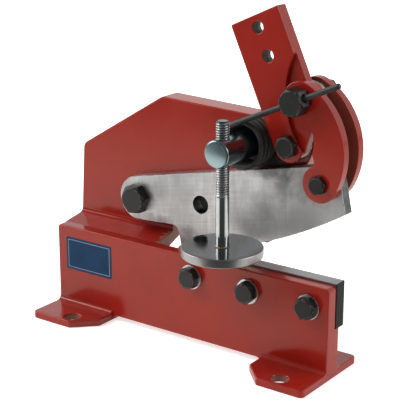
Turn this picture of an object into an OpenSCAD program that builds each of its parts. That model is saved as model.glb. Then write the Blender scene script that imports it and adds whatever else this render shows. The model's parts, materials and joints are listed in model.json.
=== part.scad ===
// Bench shear with a cast frame, two straight-edged blades, a lever with a pair of curved links,
// a torsion return spring and a screw-down work hold. X runs to the right, Y to the back, Z up.
// The origin is on the bench, midway between the two bench bolt holes.

/* [Frame] */
// Length of the cast frame
frame_length = 269; // [250:1:300]
// Thickness of the upright web that carries the lower blade
web_thickness = 16.5; // [15:0.5:20]
// Height of the web's front edge above the bench
web_height = 74.7; // [66:0.1:84]
// Gap under the web between the feet
web_gap = 4.2; // [2:0.1:5]
// Thickness of the upper plate
plate_thickness = 21; // [17:0.5:26]
// Left shoulder of the upper plate, from the frame's left end
shoulder_x = 3.5; // [1:0.5:20]
// Left shoulder of the upper plate, above the bench
shoulder_z = 140; // [132:1:150]
// Top corner of the upper plate, from the frame's left end
peak_x = 89; // [80:1:110]
// Top corner of the upper plate, above the bench
peak_z = 192; // [188:1:200]
// Lower edge of the upper plate over the throat, above the bench
throat_z = 87; // [84:0.5:92]
// Lower right corner of the upper plate, from the frame's left end
plate_corner_x = 194; // [190:1:208]
// End of the throat in the ledge, from the frame's left end
throat_end = 100; // [98:0.5:102]
// Radius of the throat's front corner
throat_r = 9; // [5:0.5:11]
// Depth of the throat below the web's front edge
throat_depth = 17; // [15:0.5:20]
// Rise of the ledge from the seat's line to the upper plate
ledge_rise = 3.9; // [3:0.1:5]
// Depth of the ledge at the web's back
ledge_depth = 13; // [11:0.5:14]
// Slope of the ledge's underside, in degrees
ledge_slope = 22.5; // [18:0.5:25]
// Radius of the boss round the lever's fulcrum
fulcrum_boss_r = 14.3; // [12:0.1:15]
// Radius of the casting's plate corners
casting_r = 7; // [4:0.5:8]

/* [Feet] */
// Thickness of the feet
foot_thickness = 6; // [5:0.5:9]
// Length of each foot along the frame
foot_length = 59; // [54:1:66]
// Reach of the feet in front of the web
foot_front = 35; // [33:0.5:45]
// Reach of the feet behind the web's front face
foot_rear = 46; // [36:0.5:55]
// Chamfer on each foot's inner front corner
foot_chamfer = 18; // [10:0.5:19]
// Radius of the fillet between the feet and the web
foot_fillet = 4; // [3:0.5:8]
// Diameter of the bench bolt holes
bench_hole_d = 13.5; // [9:0.1:14]
// Distance between the bench bolt holes
bench_hole_spacing = 207; // [204:0.5:210]
// Left bench bolt hole, from the frame's left end
bench_hole_left = 36; // [30:0.5:36]
// Bench bolt holes, in front of the web
bench_hole_front = 25; // [23:0.5:26]

/* [Lower blade] */
// Length of the lower blade
lower_length = 148; // [142:0.5:150]
// Height of the lower blade
lower_height = 36.2; // [33:0.1:40]
// Thickness of the lower blade
lower_thickness = 11.7; // [10.5:0.1:14]
// Depth of the seat for the lower blade, from the web's front face
seat_depth = 10.3; // [9:0.1:12]
// Height of the lower blade's edge over the web
lower_rise = 1.5; // [0.5:0.1:2.5]
// How far the lower blade stands out past the frame's right end
lower_overhang = 0.6; // [0:0.1:2]
// Middle of the lower blade's bolts, from the frame's right end
lower_bolt_middle = 71.9; // [70:0.1:76]
// Distance between the lower blade's bolts
lower_bolt_pitch = 54.4; // [48:0.2:56]
// Height of the lower blade's bolts above the bench
lower_bolt_z = 57.6; // [54:0.1:62]
// Number of bolts that hold the lower blade
lower_bolt_count = 3; // [2:1:3]

/* [Moving blade] */
// Thickness of the moving blade
blade_thickness = 10; // [8:0.5:13]
// Pivot of the moving blade, from the frame's left end
pivot_x = 71; // [69:0.5:73]
// Pivot of the moving blade, above the bench
pivot_z = 105; // [104:0.5:107]
// Radius of the blade's round end at the pivot
blade_end_r = 18.6; // [17:0.1:20]
// Length of the blade from the pivot to its free end
blade_length = 197.3; // [195:0.1:206]
// Rise of the blade at rest, in degrees
blade_rise = 12; // [11.5:0.1:13.5]
// Turn of the blade over the lever's whole stroke, in degrees
blade_travel = 15; // [14:0.1:15.2]
// Radius of the curved cutting edge
cutting_r = 400; // [360:5:480]
// Depth of the cutting edge's lowest point below the pivot
cutting_depth = 44; // [43:0.1:46]
// Lowest point of the cutting edge, along the blade from the pivot
cutting_u = 59; // [52:0.5:66]
// Heel of the cutting edge, along the blade from the pivot
heel_u = 37; // [36.5:0.1:42]
// Depth of the neck behind the heel, below the pivot
neck_w = 24.2; // [22:0.1:24.5]
// Diameter of the hole for round bars
bar_hole_d = 15; // [10:0.5:16]
// Hole for round bars, along the blade from the pivot
bar_hole_u = 64.2; // [60:0.2:70]
// Hole for round bars, below the pivot
bar_hole_w = 7.6; // [6:0.1:10]
// Outside diameter of the bush behind the bar hole
bar_die_d = 22; // [20:0.5:26]
// Link bolt, along the blade from the pivot
link_u = 183.5; // [182.5:0.1:184.5]
// Link bolt, above the pivot line of the blade
link_w = 6; // [5.4:0.1:6.6]

/* [Lever] */
// Fulcrum of the lever, from the frame's left end
fulcrum_x = 219.5; // [218.5:0.1:220.5]
// Fulcrum of the lever, above the bench
fulcrum_z = 173; // [172:0.1:174]
// Lean of the lever to the left at rest, in degrees
lever_lean = 24.5; // [23:0.5:26]
// Thickness of the lever
lever_thickness = 12; // [11:0.5:14]
// Width of the lever's upper part
lever_width = 44.9; // [42:0.1:50]
// Length of the lever from the fulcrum to its top
lever_length = 100.5; // [97:0.5:120]
// Radius of the lever's round end at the fulcrum
lever_end_r = 12.8; // [11:0.1:13.2]
// Link pin, along the lever from the fulcrum
crank_a = 29.2; // [28.6:0.1:29.8]
// Link pin, to the right of the lever's fulcrum line
crank_p = 25.9; // [25.3:0.1:26.5]
// Radius of the lever's lobe at the link pin
crank_r = 13; // [11:0.1:14]
// Diameter of the handle bolt holes
handle_hole_d = 9.5; // [8:0.1:10]
// Distance between the handle bolt holes
handle_hole_pitch = 22.6; // [18:0.1:26]
// Distance from the upper handle hole to the lever's top
handle_hole_end = 9.5; // [8:0.1:12]

/* [Links] */
// Thickness of each link
link_thickness = 8; // [6:0.5:10]
// Thickness of the spacer between the moving blade and the rear link
link_spacer_t = 3.5; // [3:0.1:5]
// Radius of the links' lobes
link_lobe_r = 14.3; // [13:0.1:15]
// Radius of the links' outer curve
link_outer_r = 58; // [54:0.5:66]
// Radius of the notch that clears the fulcrum
link_notch_r = 23.3; // [21:0.1:24]

/* [Hold-down] */
// Post of the hold-down, from the frame's left end
post_x = 183.5; // [180:0.1:184.5]
// Post of the hold-down, above the bench
post_z = 170.2; // [169:0.1:171.5]
// Diameter of the post
post_d = 22; // [19:0.5:24]
// Reach of the post in front of the web
post_front = 25; // [23:0.5:32]
// Screw of the hold-down, behind the post's front end
screw_inset = 9; // [7.5:0.1:10]
// Diameter of the hold-down screw
screw_d = 10.4; // [8:0.1:12]
// Height of the screw's top above the bench
screw_top = 194.5; // [190:0.5:215]
// Diameter of the hold-down disc
disc_d = 63.5; // [50:0.5:66]
// Thickness of the hold-down disc
disc_thickness = 7; // [5:0.5:9]
// Height of the disc's top face above the bench
disc_z = 96.3; // [93:0.1:112]

/* [Return spring] */
// Wire diameter of the return spring
wire_d = 4.5; // [3.5:0.1:4.9]
// Mean radius of the spring's coil
coil_r = 17.2; // [16.5:0.1:18]
// Rise of the coil for each turn
coil_pitch = 5.5; // [5.3:0.1:6.5]
// Length of the straight leg from the coil
leg_length = 101; // [96:0.5:110]
// Depth of the spring's tail in the upper plate
tail_depth = 8; // [5:0.5:12]

/* [Fasteners] */
// Shank of the moving blade's pivot bolt
pivot_d = 14; // [12:1:16]
// Shank of the lever's fulcrum bolt
fulcrum_d = 10; // [8:1:12]
// Shank of the link bolt at the moving blade
link_bolt_d = 8; // [7:0.5:8.5]
// Shank of the link pin at the lever
pin_d = 12; // [10:0.5:13]
// Length of the link pin's drilled head
pin_head_length = 13.7; // [12:0.1:16]
// Shank of the lower blade's bolts
lower_bolt_d = 10; // [8:1:12]
// Spigot of the post through the upper plate
spigot_d = 14; // [12:1:16]
// Thickness of the washers
washer_t = 2; // [1.5:0.1:3]

/* [Fits] */
// Radial clearance of a turning or sliding fit
running_fit = 0.05; // [0.02:0.01:0.1]
// Radial clearance of a bolt in its own bore
bolt_fit = 0.1; // [0.05:0.05:0.4]
// Gap between flat faces that slide on each other
slide_gap = 0.1; // [0.05:0.05:0.2]
// Gap between the links and the moving blade
link_gap = 0.3; // [0.2:0.05:0.5]
// Gap round the spring where it lies beside another piece
spring_gap = 0.3; // [0.2:0.05:0.4]
// Room round the blade's neck where it dips past the ledge
neck_gap = 0.8; // [0.5:0.1:1.2]

/* [Hidden] */
$fn = 64;

paint = "firebrick";
steel = "silver";
black_steel = "dimgray";
zinc = "lightsteelblue";
brass = "goldenrod";

// Places along the three axes, from the frame's left end and the web's front face.
left = -bench_hole_spacing / 2 - bench_hole_left;
right = left + frame_length;
front = bench_hole_front;
seat_y = front + seat_depth;
shear_y = seat_y + lower_thickness;
blade_y = shear_y + slide_gap;
plate_y = blade_y + blade_thickness + slide_gap;
plate_back = plate_y + plate_thickness;
front_link_y = blade_y - link_gap - link_thickness;
rear_link_y = blade_y + blade_thickness + link_gap + link_spacer_t;
rear_link_back = rear_link_y + link_thickness;
lever_y = plate_y - washer_t - slide_gap - lever_thickness;
lever_back = lever_y + lever_thickness;
recess_depth = front_link_y + link_thickness + slide_gap - lever_y;

lower_top = web_height + lower_rise;
lower_bottom = lower_top - lower_height;
lower_left = right + lower_overhang - lower_length;
lower_bolts = [for (i = [0 : lower_bolt_count - 1])
    right - lower_bolt_middle + (i - (lower_bolt_count - 1) / 2) * lower_bolt_pitch];

// Joint centres in the XZ plane.
function turned(v, angle) = [v.x * cos(angle) - v.y * sin(angle), v.x * sin(angle) + v.y * cos(angle)];
function heading(v) = atan2(v.y, v.x);
function unit(v) = v / norm(v);
pivot = [left + pivot_x, pivot_z];
fulcrum = [left + fulcrum_x, fulcrum_z];
post = [left + post_x, post_z];
bar_hole = pivot + turned([bar_hole_u, -bar_hole_w], blade_rise);
link_joint = pivot + turned([link_u, link_w], blade_rise);
pin_joint = fulcrum + turned([crank_p, crank_a], lever_lean);

// The links' outer curve is tangent to both lobes, and their notch is struck from the fulcrum side.
link_along = unit(link_joint - pin_joint);
link_out = turned(link_along, 90);
link_half = norm(link_joint - pin_joint) / 2;
link_sag = sqrt(pow(link_outer_r - link_lobe_r, 2) - pow(link_half, 2));
link_centre = (pin_joint + link_joint) / 2 - link_out * link_sag;
notch_inset = 19;
notch_along = 27;
link_notch = pin_joint + link_along * notch_along - link_out * notch_inset;

// The slot at the link bolt gives the bolt room to drift in the blade as the lever swings:
// its reach each way along the slot's slope, half its drift across, and the clearance round it.
slot_slope = 28;
slot_reach = 5.6;
slot_drift = 1.1;
slot_room = 0.5;

// The spring's leg is the tangent from the coil to the link pin's axis.
post_to_pin = pin_joint - post;
leg_angle = heading(post_to_pin) - asin(coil_r / norm(post_to_pin));
leg_y = front_link_y - slide_gap - pin_head_length / 2;
coil_y = plate_y - spring_gap - wire_d / 2;
coil_turns = (coil_y - leg_y) / coil_pitch;
tail_bend = wire_d * 0.8;
leg_bore_d = wire_d + 2.3;
tail_bore_d = wire_d + 2 * spring_gap;
coil_rings = 16;
tube_sides = 6;

disc_bottom = disc_z - disc_thickness;
screw_y = front - post_front + screw_inset;
screw_bottom = disc_bottom + disc_thickness * 0.4;

// Points of an outline whose corners are [x, y, radius], with each corner rounded by an arc.
corner_steps = 6;
function corner(a, b, c, r) = let (
    to_a = unit(a - b),
    to_c = unit(c - b),
    half = acos(to_a * to_c) / 2,
    centre = b + unit(to_a + to_c) * r / sin(half),
    start = heading(b + to_a * r / tan(half) - centre),
    swing = heading(b + to_c * r / tan(half) - centre) - start,
    sweep = swing > 180 ? swing - 360 : swing < -180 ? swing + 360 : swing
) [for (i = [0 : corner_steps]) centre + turned([r, 0], start + sweep * i / corner_steps)];
function flat(p) = [p.x, p.y];
function rounded(points) = let (n = len(points)) [
    for (i = [0 : n - 1]) each points[i][2] == 0 ? [flat(points[i])]
        : corner(flat(points[(i + n - 1) % n]), flat(points[i]), flat(points[(i + 1) % n]), points[i][2])
];

// Solid of an XZ outline, from the depth y over a thickness.
module upright(y, thickness) {
    translate([0, y + thickness, 0]) rotate([90, 0, 0]) linear_extrude(thickness) children();
}

// Children drawn along +Z are laid along +Y from a place in the XZ plane.
module along_y(place, y) {
    translate([place.x, y, place.y]) rotate([-90, 0, 0]) children();
}

// Children are moved to the blade's or the lever's pivot and turned up by an angle.
module hung(place, rise) {
    translate([place.x, 0, place.y]) rotate([0, -rise, 0]) children();
}

// Standard proportions of hexagon heads, nuts and washers.
flats_allowance = 0.5;
function across_flats(d) = 1.55 * d + flats_allowance;
function head_height(d) = 0.6 * d;
function nut_height(d) = 0.8 * d;
function washer_d(d) = 2 * d;
thread_stand = 2;

module hexagon(flats, height, turn = 0) {
    top_d = flats * 0.89;
    intersection() {
        rotate(turn) cylinder(h = height, d = flats / cos(30), $fn = 6);
        translate([0, 0, -1]) cylinder(h = height + 1, d1 = top_d + 2 * (height + 1) / tan(30), d2 = top_d);
    }
}

// Bolt along +Y whose head's seat is at the depth y, with a shank of a length.
module bolt(place, y, d, length, turn = 0) {
    along_y(place, y) {
        mirror([0, 0, 1]) hexagon(across_flats(d), head_height(d), turn);
        cylinder(h = length, d = d);
    }
}

module washer(place, y, d, outer = 0, thickness = washer_t) {
    along_y(place, y) difference() {
        cylinder(h = thickness, d = outer > 0 ? outer : washer_d(d));
        translate([0, 0, -1]) cylinder(h = thickness + 2, d = d + 2 * bolt_fit);
    }
}

module nut(place, y, d, turn = 0) {
    along_y(place, y) difference() {
        hexagon(across_flats(d), nut_height(d), turn);
        translate([0, 0, -1]) cylinder(h = nut_height(d) + 2, d = d + 2 * bolt_fit);
    }
}

// Round hole along Y through a stretch of depths.
module drilled(place, y, length, d) {
    along_y(place, y) cylinder(h = length, d = d);
}

// Cast frame
web_r = 3;
notch_slope = 4;
module web_outline() {
    polygon(rounded([
        [left, 0, 0],
        [left + foot_length, 0, 0],
        [left + foot_length + notch_slope, web_gap, web_r],
        [right - foot_length - notch_slope, web_gap, web_r],
        [right - foot_length, 0, 0],
        [right, 0, 0],
        [right, web_height, web_r],
        [left, web_height, web_r]
    ]));
}

ledge_top = web_height + ledge_rise;
ledge_r = 5;
throat_x = left + throat_end;
// The throat's front corner stays within the room up to the lower blade.
throat_corner_r = min(throat_r, lower_left - throat_x);
boss_turn = -22;
module plate_outline() {
    polygon(rounded([
        [left, ledge_top, 0],
        [left, ledge_top + ledge_r, 0],
        [left + shoulder_x, shoulder_z, casting_r],
        [left + peak_x, peak_z, casting_r],
        [fulcrum.x, fulcrum.y + fulcrum_boss_r, 0],
        [fulcrum.x + fulcrum_boss_r * cos(boss_turn), fulcrum.y + fulcrum_boss_r * sin(boss_turn), 0],
        [left + plate_corner_x, throat_z, casting_r / 2],
        [throat_x, throat_z, casting_r / 2],
        [throat_x, ledge_top, 0]
    ]));
    translate(fulcrum) circle(fulcrum_boss_r);
}

// Section of the ledge that joins the web to the upper plate, in the YZ plane. Its top is level
// over the web's lip and then rises, and its underside slopes up to the upper plate's back.
module ledge_section() {
    bend_r = 3;
    root = lower_bottom;
    web_back = front + web_thickness;
    top_at_back = web_height + ledge_rise * (web_back - seat_y) / (plate_y - seat_y);
    under_front = top_at_back - ledge_depth;
    under_back = min(under_front + (plate_back - web_back) * tan(ledge_slope), ledge_top);
    polygon(rounded([
        [front, root, 0],
        [front, web_height, 0],
        [seat_y, web_height, 0],
        [plate_y, ledge_top, ledge_r],
        [plate_y, ledge_top + ledge_r, 0],
        [plate_back, ledge_top + ledge_r, 0],
        [plate_back, under_back, bend_r],
        [web_back, under_front, bend_r],
        [web_back, root, 0]
    ]));
}

// Room behind the web's lip, from the throat's end to the lower blade.
module throat() {
    translate([0, 0, web_height - throat_depth]) linear_extrude(peak_z) polygon(rounded([
        [throat_x, plate_back + 1, 0],
        [throat_x, seat_y, throat_corner_r],
        [lower_left + 1, seat_y, 0],
        [lower_left + 1, plate_back + 1, 0]
    ]));
}

module web_and_ledge() {
    difference() {
        union() {
            upright(front, web_thickness) web_outline();
            translate([left, 0, 0]) rotate([90, 0, 90]) linear_extrude(throat_end + throat_corner_r) ledge_section();
        }
        throat();
    }
}

// One foot, drawn for the left end, with fillets up to the web's faces.
module foot() {
    edge_r = 4;
    linear_extrude(foot_thickness) polygon(rounded([
        [left, front - foot_front, edge_r],
        [left + foot_length - foot_chamfer, front - foot_front, edge_r],
        [left + foot_length, front - foot_front + foot_chamfer, edge_r],
        [left + foot_length, front + foot_rear, edge_r],
        [left, front + foot_rear, edge_r]
    ]));
    for (side = [0, 1])
        translate([left, front + side * web_thickness, foot_thickness])
            mirror([0, side, 0]) rotate([90, 0, 90]) linear_extrude(foot_length) difference() {
                translate([-foot_fillet, 0]) square(foot_fillet);
                translate([-foot_fillet, foot_fillet]) circle(foot_fillet);
            }
}

module frame_casting() {
    color(paint) difference() {
        union() {
            web_and_ledge();
            upright(plate_y, plate_thickness) plate_outline();
            foot();
            translate([left + right, 0, 0]) mirror([1, 0, 0]) foot();
        }
        for (side = [-1, 1])
            translate([side * bench_hole_spacing / 2, 0, -1]) cylinder(h = foot_thickness + 2, d = bench_hole_d);
        translate([lower_left, seat_y, lower_bottom])
            cube([lower_length + 1, web_thickness, lower_height]);
        for (x = lower_bolts)
            drilled([x, lower_bolt_z], front - 1, web_thickness + 1, lower_bolt_d + 2 * bolt_fit);
        drilled(bar_hole, plate_y - 1, plate_thickness + 2, bar_die_d + 2 * running_fit);
        drilled(pivot, plate_y - 1, plate_thickness + 2, pivot_d + 2 * bolt_fit);
        drilled(fulcrum, plate_y - 1, plate_thickness + 2, fulcrum_d + 2 * bolt_fit);
        drilled(post, plate_y - 1, plate_thickness + 2, spigot_d + 2 * bolt_fit);
        drilled(tail_place, plate_y - 1, tail_depth + 2, tail_bore_d);
        hung(pivot, blade_rise - blade_travel) upright(shear_y - slide_gap, plate_y - shear_y + slide_gap)
            polygon([
                [0, -pivot_d],
                [0, -blade_end_r - neck_gap],
                [heel_u + neck_gap, -neck_w - neck_gap],
                [heel_u + neck_gap, -pivot_d]
            ]);
    }
}

// Fixed blade and its fasteners
bolt_depth = 9.5;
module lower_blade() {
    color(steel) difference() {
        translate([lower_left, seat_y, lower_bottom])
            cube([lower_length, lower_thickness, lower_height]);
        for (x = lower_bolts)
            drilled([x, lower_bolt_z], front, seat_depth + bolt_depth, lower_bolt_d + 2 * bolt_fit);
    }
}

module lower_blade_washers() {
    color(zinc) for (x = lower_bolts) washer([x, lower_bolt_z], front - washer_t, lower_bolt_d);
}

module lower_blade_bolts() {
    reach = washer_t + seat_depth + bolt_depth - 1;
    color(black_steel) for (i = [0 : lower_bolt_count - 1])
        bolt([lower_bolts[i], lower_bolt_z], front - washer_t, lower_bolt_d, reach, 30 * i - 12);
}

module bar_die() {
    color(steel) difference() {
        drilled(bar_hole, plate_y, plate_thickness, bar_die_d);
        drilled(bar_hole, plate_y - 1, plate_thickness + 2, bar_hole_d);
    }
}

// Bolts through the upper plate, each with a washer and a nut at the back
function through_length(d, y) = plate_back + washer_t + nut_height(d) + thread_stand - y;

module pivot_bolt() {
    seat = blade_y - slide_gap;
    color(black_steel) bolt(pivot, seat, pivot_d, through_length(pivot_d, seat), -8);
}

module pivot_washer() {
    color(zinc) washer(pivot, plate_back, pivot_d);
}

module pivot_nut() {
    color(black_steel) nut(pivot, plate_back + washer_t, pivot_d);
}

module fulcrum_bolt() {
    seat = lever_y - slide_gap;
    color(black_steel) bolt(fulcrum, seat, fulcrum_d, through_length(fulcrum_d, seat), -20);
}

module fulcrum_spacer() {
    color(zinc) washer(fulcrum, plate_y - washer_t, fulcrum_d, 2 * lever_end_r);
}

module fulcrum_washer() {
    color(zinc) washer(fulcrum, plate_back, fulcrum_d);
}

module fulcrum_nut() {
    color(black_steel) nut(fulcrum, plate_back + washer_t, fulcrum_d);
}

// Hold-down post, screw and disc
module hold_down_post() {
    bevel = 1;
    post_y = front - post_front;
    length = plate_y - post_y;
    color(zinc) difference() {
        along_y(post, post_y) rotate_extrude() polygon([
            [0, 0],
            [post_d / 2 - bevel, 0],
            [post_d / 2, bevel],
            [post_d / 2, length],
            [spigot_d / 2, length],
            [spigot_d / 2, through_length(spigot_d, post_y)],
            [0, through_length(spigot_d, post_y)]
        ]);
        translate([post.x, screw_y, post.y - post_d])
            cylinder(h = 2 * post_d, d = screw_d + 2 * running_fit);
    }
}

module post_washer() {
    color(zinc) washer(post, plate_back, spigot_d);
}

module post_nut() {
    color(black_steel) nut(post, plate_back + washer_t, spigot_d, 5);
}

module hold_down_screw() {
    bevel = 1;
    radius = screw_d / 2;
    height = screw_top - screw_bottom;
    color(zinc) translate([post.x, screw_y, screw_bottom]) rotate_extrude() polygon([
        [0, 0],
        [radius, 0],
        [radius, height - bevel],
        [radius - bevel, height],
        [0, height]
    ]);
}

module hold_down_disc() {
    rim = 1.6;
    radius = disc_d / 2;
    color(zinc) difference() {
        translate([post.x, screw_y, disc_bottom]) rotate_extrude() polygon(rounded([
            [0, 0, 0],
            [radius, 0, rim],
            [radius, disc_thickness, rim],
            [0, disc_thickness, 0]
        ]));
        translate([post.x, screw_y, screw_bottom]) cylinder(h = disc_thickness, d = screw_d + 2 * bolt_fit);
    }
}

// Ring of braze metal in the corner between the screw and the disc
module disc_braze() {
    leg = 2.4;
    inner = screw_d / 2 + bolt_fit;
    color(brass) translate([post.x, screw_y, disc_z]) rotate_extrude() difference() {
        translate([inner, 0]) square(leg);
        translate([inner + leg * 1.15, leg * 1.15]) circle(leg);
    }
}

// Moving blade, drawn along its own edge from the pivot
function edge_w(u) = cutting_r - cutting_depth - sqrt(pow(cutting_r, 2) - pow(u - cutting_u, 2));
edge_steps = 24;
heel_r = 6.5;
module blade_outline() {
    circle(blade_end_r);
    polygon(concat(
        [[0, blade_end_r], [0, -blade_end_r]],
        corner([0, -blade_end_r], [heel_u, -neck_w], [heel_u, edge_w(heel_u)], heel_r),
        [for (i = [0 : edge_steps])
            let (u = heel_u + (blade_length - heel_u) * i / edge_steps) [u, edge_w(u)]],
        corner([blade_length, 0], [blade_length, blade_end_r], [0, blade_end_r], 2)
    ));
}

module link_slot() {
    width = link_bolt_d + 2 * slot_drift + 2 * slot_room;
    translate([link_u, link_w]) rotate(slot_slope - blade_rise) translate([0, slot_drift]) {
        square([2 * slot_reach, width], center = true);
        for (side = [-1, 1]) translate([side * slot_reach, 0]) circle(d = width);
    }
}

module moving_blade() {
    color(steel) difference() {
        hung(pivot, blade_rise) upright(blade_y, blade_thickness) difference() {
            blade_outline();
            link_slot();
        }
        drilled(pivot, blade_y - 1, blade_thickness + 2, pivot_d + 2 * running_fit);
        drilled(bar_hole, blade_y - 1, blade_thickness + 2, bar_hole_d);
    }
}

// Lever, drawn upright from its fulcrum and leaned to the left
lever_right = lever_width - lever_end_r;
side_inset = 0.4;
module lever_outline() {
    crank = [crank_p, crank_a];
    out = turned(unit(crank), -90);
    circle(lever_end_r);
    translate(crank) circle(crank_r);
    polygon(rounded([
        [-lever_end_r, 0, 0],
        concat(out * (lever_end_r - side_inset), 0),
        concat(crank + out * (crank_r - side_inset), 0),
        concat(crank, 0),
        [lever_right, crank_a, 0],
        [lever_right, lever_length, 1],
        [-lever_end_r, lever_length, 1]
    ]));
}

// The milled face for the front link ends on an arc that clears the link's lobe
recess_p = 81.2;
recess_a = 8;
recess_room = 0.4;
recess_r = norm([recess_p - crank_p, recess_a - crank_a]) + link_lobe_r + recess_room;
handle_p = lever_width / 2 - lever_end_r;
handle_a = lever_length - handle_hole_end;
module lever() {
    color(paint) difference() {
        hung(fulcrum, lever_lean) difference() {
            upright(lever_y, lever_thickness) lever_outline();
            drilled([recess_p, recess_a], lever_y - 1, recess_depth + 1, 2 * recess_r);
            for (i = [0, 1])
                drilled([handle_p, handle_a - i * handle_hole_pitch], lever_y - 1, lever_thickness + 2, handle_hole_d);
        }
        drilled(fulcrum, lever_y - 1, lever_thickness + 2, fulcrum_d + 2 * running_fit);
        drilled(pin_joint, lever_y - 1, lever_thickness + 2, pin_d + 2 * running_fit);
    }
}

// Curved links on both sides of the lever and the moving blade
module link_outline() {
    reach = (link_outer_r + link_lobe_r) / (link_outer_r - link_lobe_r);
    difference() {
        union() {
            for (place = [pin_joint, link_joint]) translate(place) circle(link_lobe_r);
            intersection() {
                translate(link_centre) circle(link_outer_r, $fn = 128);
                polygon([
                    pin_joint,
                    link_centre + (pin_joint - link_centre) * reach,
                    link_centre + link_out * link_outer_r * 2,
                    link_centre + (link_joint - link_centre) * reach,
                    link_joint
                ]);
            }
        }
        translate(link_notch) circle(link_notch_r);
    }
}

module link(y) {
    color(paint) difference() {
        upright(y, link_thickness) link_outline();
        drilled(pin_joint, y - 1, link_thickness + 2, pin_d + 2 * running_fit);
        drilled(link_joint, y - 1, link_thickness + 2, link_bolt_d + 2 * bolt_fit);
    }
}

module front_link() {
    link(front_link_y);
}

module rear_link() {
    link(rear_link_y);
}

module link_bolt() {
    length = rear_link_back + washer_t + nut_height(link_bolt_d) + thread_stand - front_link_y;
    color(black_steel) bolt(link_joint, front_link_y, link_bolt_d, length, -15);
}

module link_spacer() {
    color(zinc) washer(link_joint, rear_link_y - link_spacer_t, link_bolt_d, 0, link_spacer_t);
}

module link_washer() {
    color(zinc) washer(link_joint, rear_link_back, link_bolt_d);
}

module link_nut() {
    color(black_steel) nut(link_joint, rear_link_back + washer_t, link_bolt_d);
}

// Link pin, whose head is cross-drilled through two flats for the spring's leg
pin_seat = front_link_y - slide_gap;
pin_end = rear_link_back + slide_gap;
module link_pin() {
    length = pin_end + washer_t + nut_height(pin_d) + thread_stand - pin_seat;
    color(black_steel) difference() {
        along_y(pin_joint, pin_seat) {
            mirror([0, 0, 1]) hexagon(across_flats(pin_d), pin_head_length, -leg_angle - 30);
            cylinder(h = length, d = pin_d);
        }
        translate([pin_joint.x, leg_y, pin_joint.y]) rotate([0, 90 - leg_angle, 0])
            cylinder(h = 4 * pin_d, d = leg_bore_d, center = true);
    }
}

module pin_spacer() {
    thickness = rear_link_y - lever_back - 2 * slide_gap;
    color(zinc) washer(pin_joint, lever_back + slide_gap, pin_d, 0, thickness);
}

module pin_washer() {
    color(zinc) washer(pin_joint, pin_end, pin_d);
}

module pin_nut() {
    color(black_steel) nut(pin_joint, pin_end + washer_t, pin_d);
}

// Return spring: a tail in the upper plate, a bend, the coil and the long leg through the pin.
// Each station holds a point on the wire's axis and its angle round the post.
leg_turn = leg_angle + 90;
coil_start = leg_turn + 360 * coil_turns;
bend_turn = tail_bend / coil_r * 180 / PI;
tail_turn = coil_start + bend_turn;
tail_place = post + turned([coil_r, 0], tail_turn);
function on_coil(turn, y) = let (p = post + turned([coil_r, 0], turn)) [[p.x, y, p.y], turn];
bend_steps = 5;
coil_steps = ceil(coil_turns * coil_rings);
leg_steps = 4;
leg_start = post + turned([coil_r, 0], leg_turn);
stations = concat(
    [on_coil(tail_turn, plate_y + tail_depth), on_coil(tail_turn, plate_y + wire_d / 2)],
    [for (i = [0 : bend_steps]) let (s = 90 * i / bend_steps)
        on_coil(tail_turn - bend_turn * (1 - cos(s)), coil_y + tail_bend * (1 - sin(s)))],
    [for (i = [1 : coil_steps]) let (t = i / coil_steps)
        on_coil(coil_start - 360 * coil_turns * t, coil_y + (leg_y - coil_y) * t)],
    [for (i = [1 : leg_steps]) let (p = leg_start + turned([leg_length * i / leg_steps, 0], leg_angle))
        [[p.x, leg_y, p.y], leg_turn]]
);

function wire_heading(i) = unit(stations[min(i + 1, len(stations) - 1)][0] - stations[max(i - 1, 0)][0]);
function wire_ring(i) = let (
    ahead = wire_heading(i),
    turn = stations[i][1],
    radial = [cos(turn), 0, sin(turn)],
    side = unit(radial - ahead * (radial * ahead)),
    over = cross(ahead, side)
) [for (k = [0 : tube_sides - 1]) let (a = 360 * k / tube_sides)
    stations[i][0] + (side * cos(a) + over * sin(a)) * wire_d / 2];

// Least gap of the wire to itself, over stations at least half a turn apart.
apart = coil_rings / 2;
least_gap = min([for (i = [0 : len(stations) - 1 - apart]) for (j = [i + apart : len(stations) - 1])
    norm(stations[i][0] - stations[j][0])]) - wire_d;
echo(least_gap_of_spring_wire = least_gap);

module return_spring() {
    count = len(stations);
    last = (count - 1) * tube_sides;
    color(black_steel) polyhedron(
        points = [for (i = [0 : count - 1]) each wire_ring(i)],
        faces = concat(
            [for (i = [0 : count - 2]) for (k = [0 : tube_sides - 1]) let (
                a = i * tube_sides + k,
                b = i * tube_sides + (k + 1) % tube_sides
            ) each [[a, a + tube_sides, b], [b, a + tube_sides, b + tube_sides]]],
            [for (k = [1 : tube_sides - 2]) [0, k, k + 1]],
            [for (k = [1 : tube_sides - 2]) [last, last + k + 1, last + k]]
        )
    );
}

frame_casting();
lower_blade();
lower_blade_washers();
lower_blade_bolts();
bar_die();
pivot_bolt();
pivot_washer();
pivot_nut();
fulcrum_bolt();
fulcrum_spacer();
fulcrum_washer();
fulcrum_nut();
hold_down_post();
post_washer();
post_nut();
hold_down_screw();
hold_down_disc();
disc_braze();
moving_blade();
lever();
front_link();
rear_link();
link_bolt();
link_spacer();
link_washer();
link_nut();
link_pin();
pin_spacer();
pin_washer();
pin_nut();
return_spring();
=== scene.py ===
import json
import math

import bmesh
import bpy
import numpy as np
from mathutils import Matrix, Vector
from mathutils.geometry import tessellate_polygon


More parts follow.
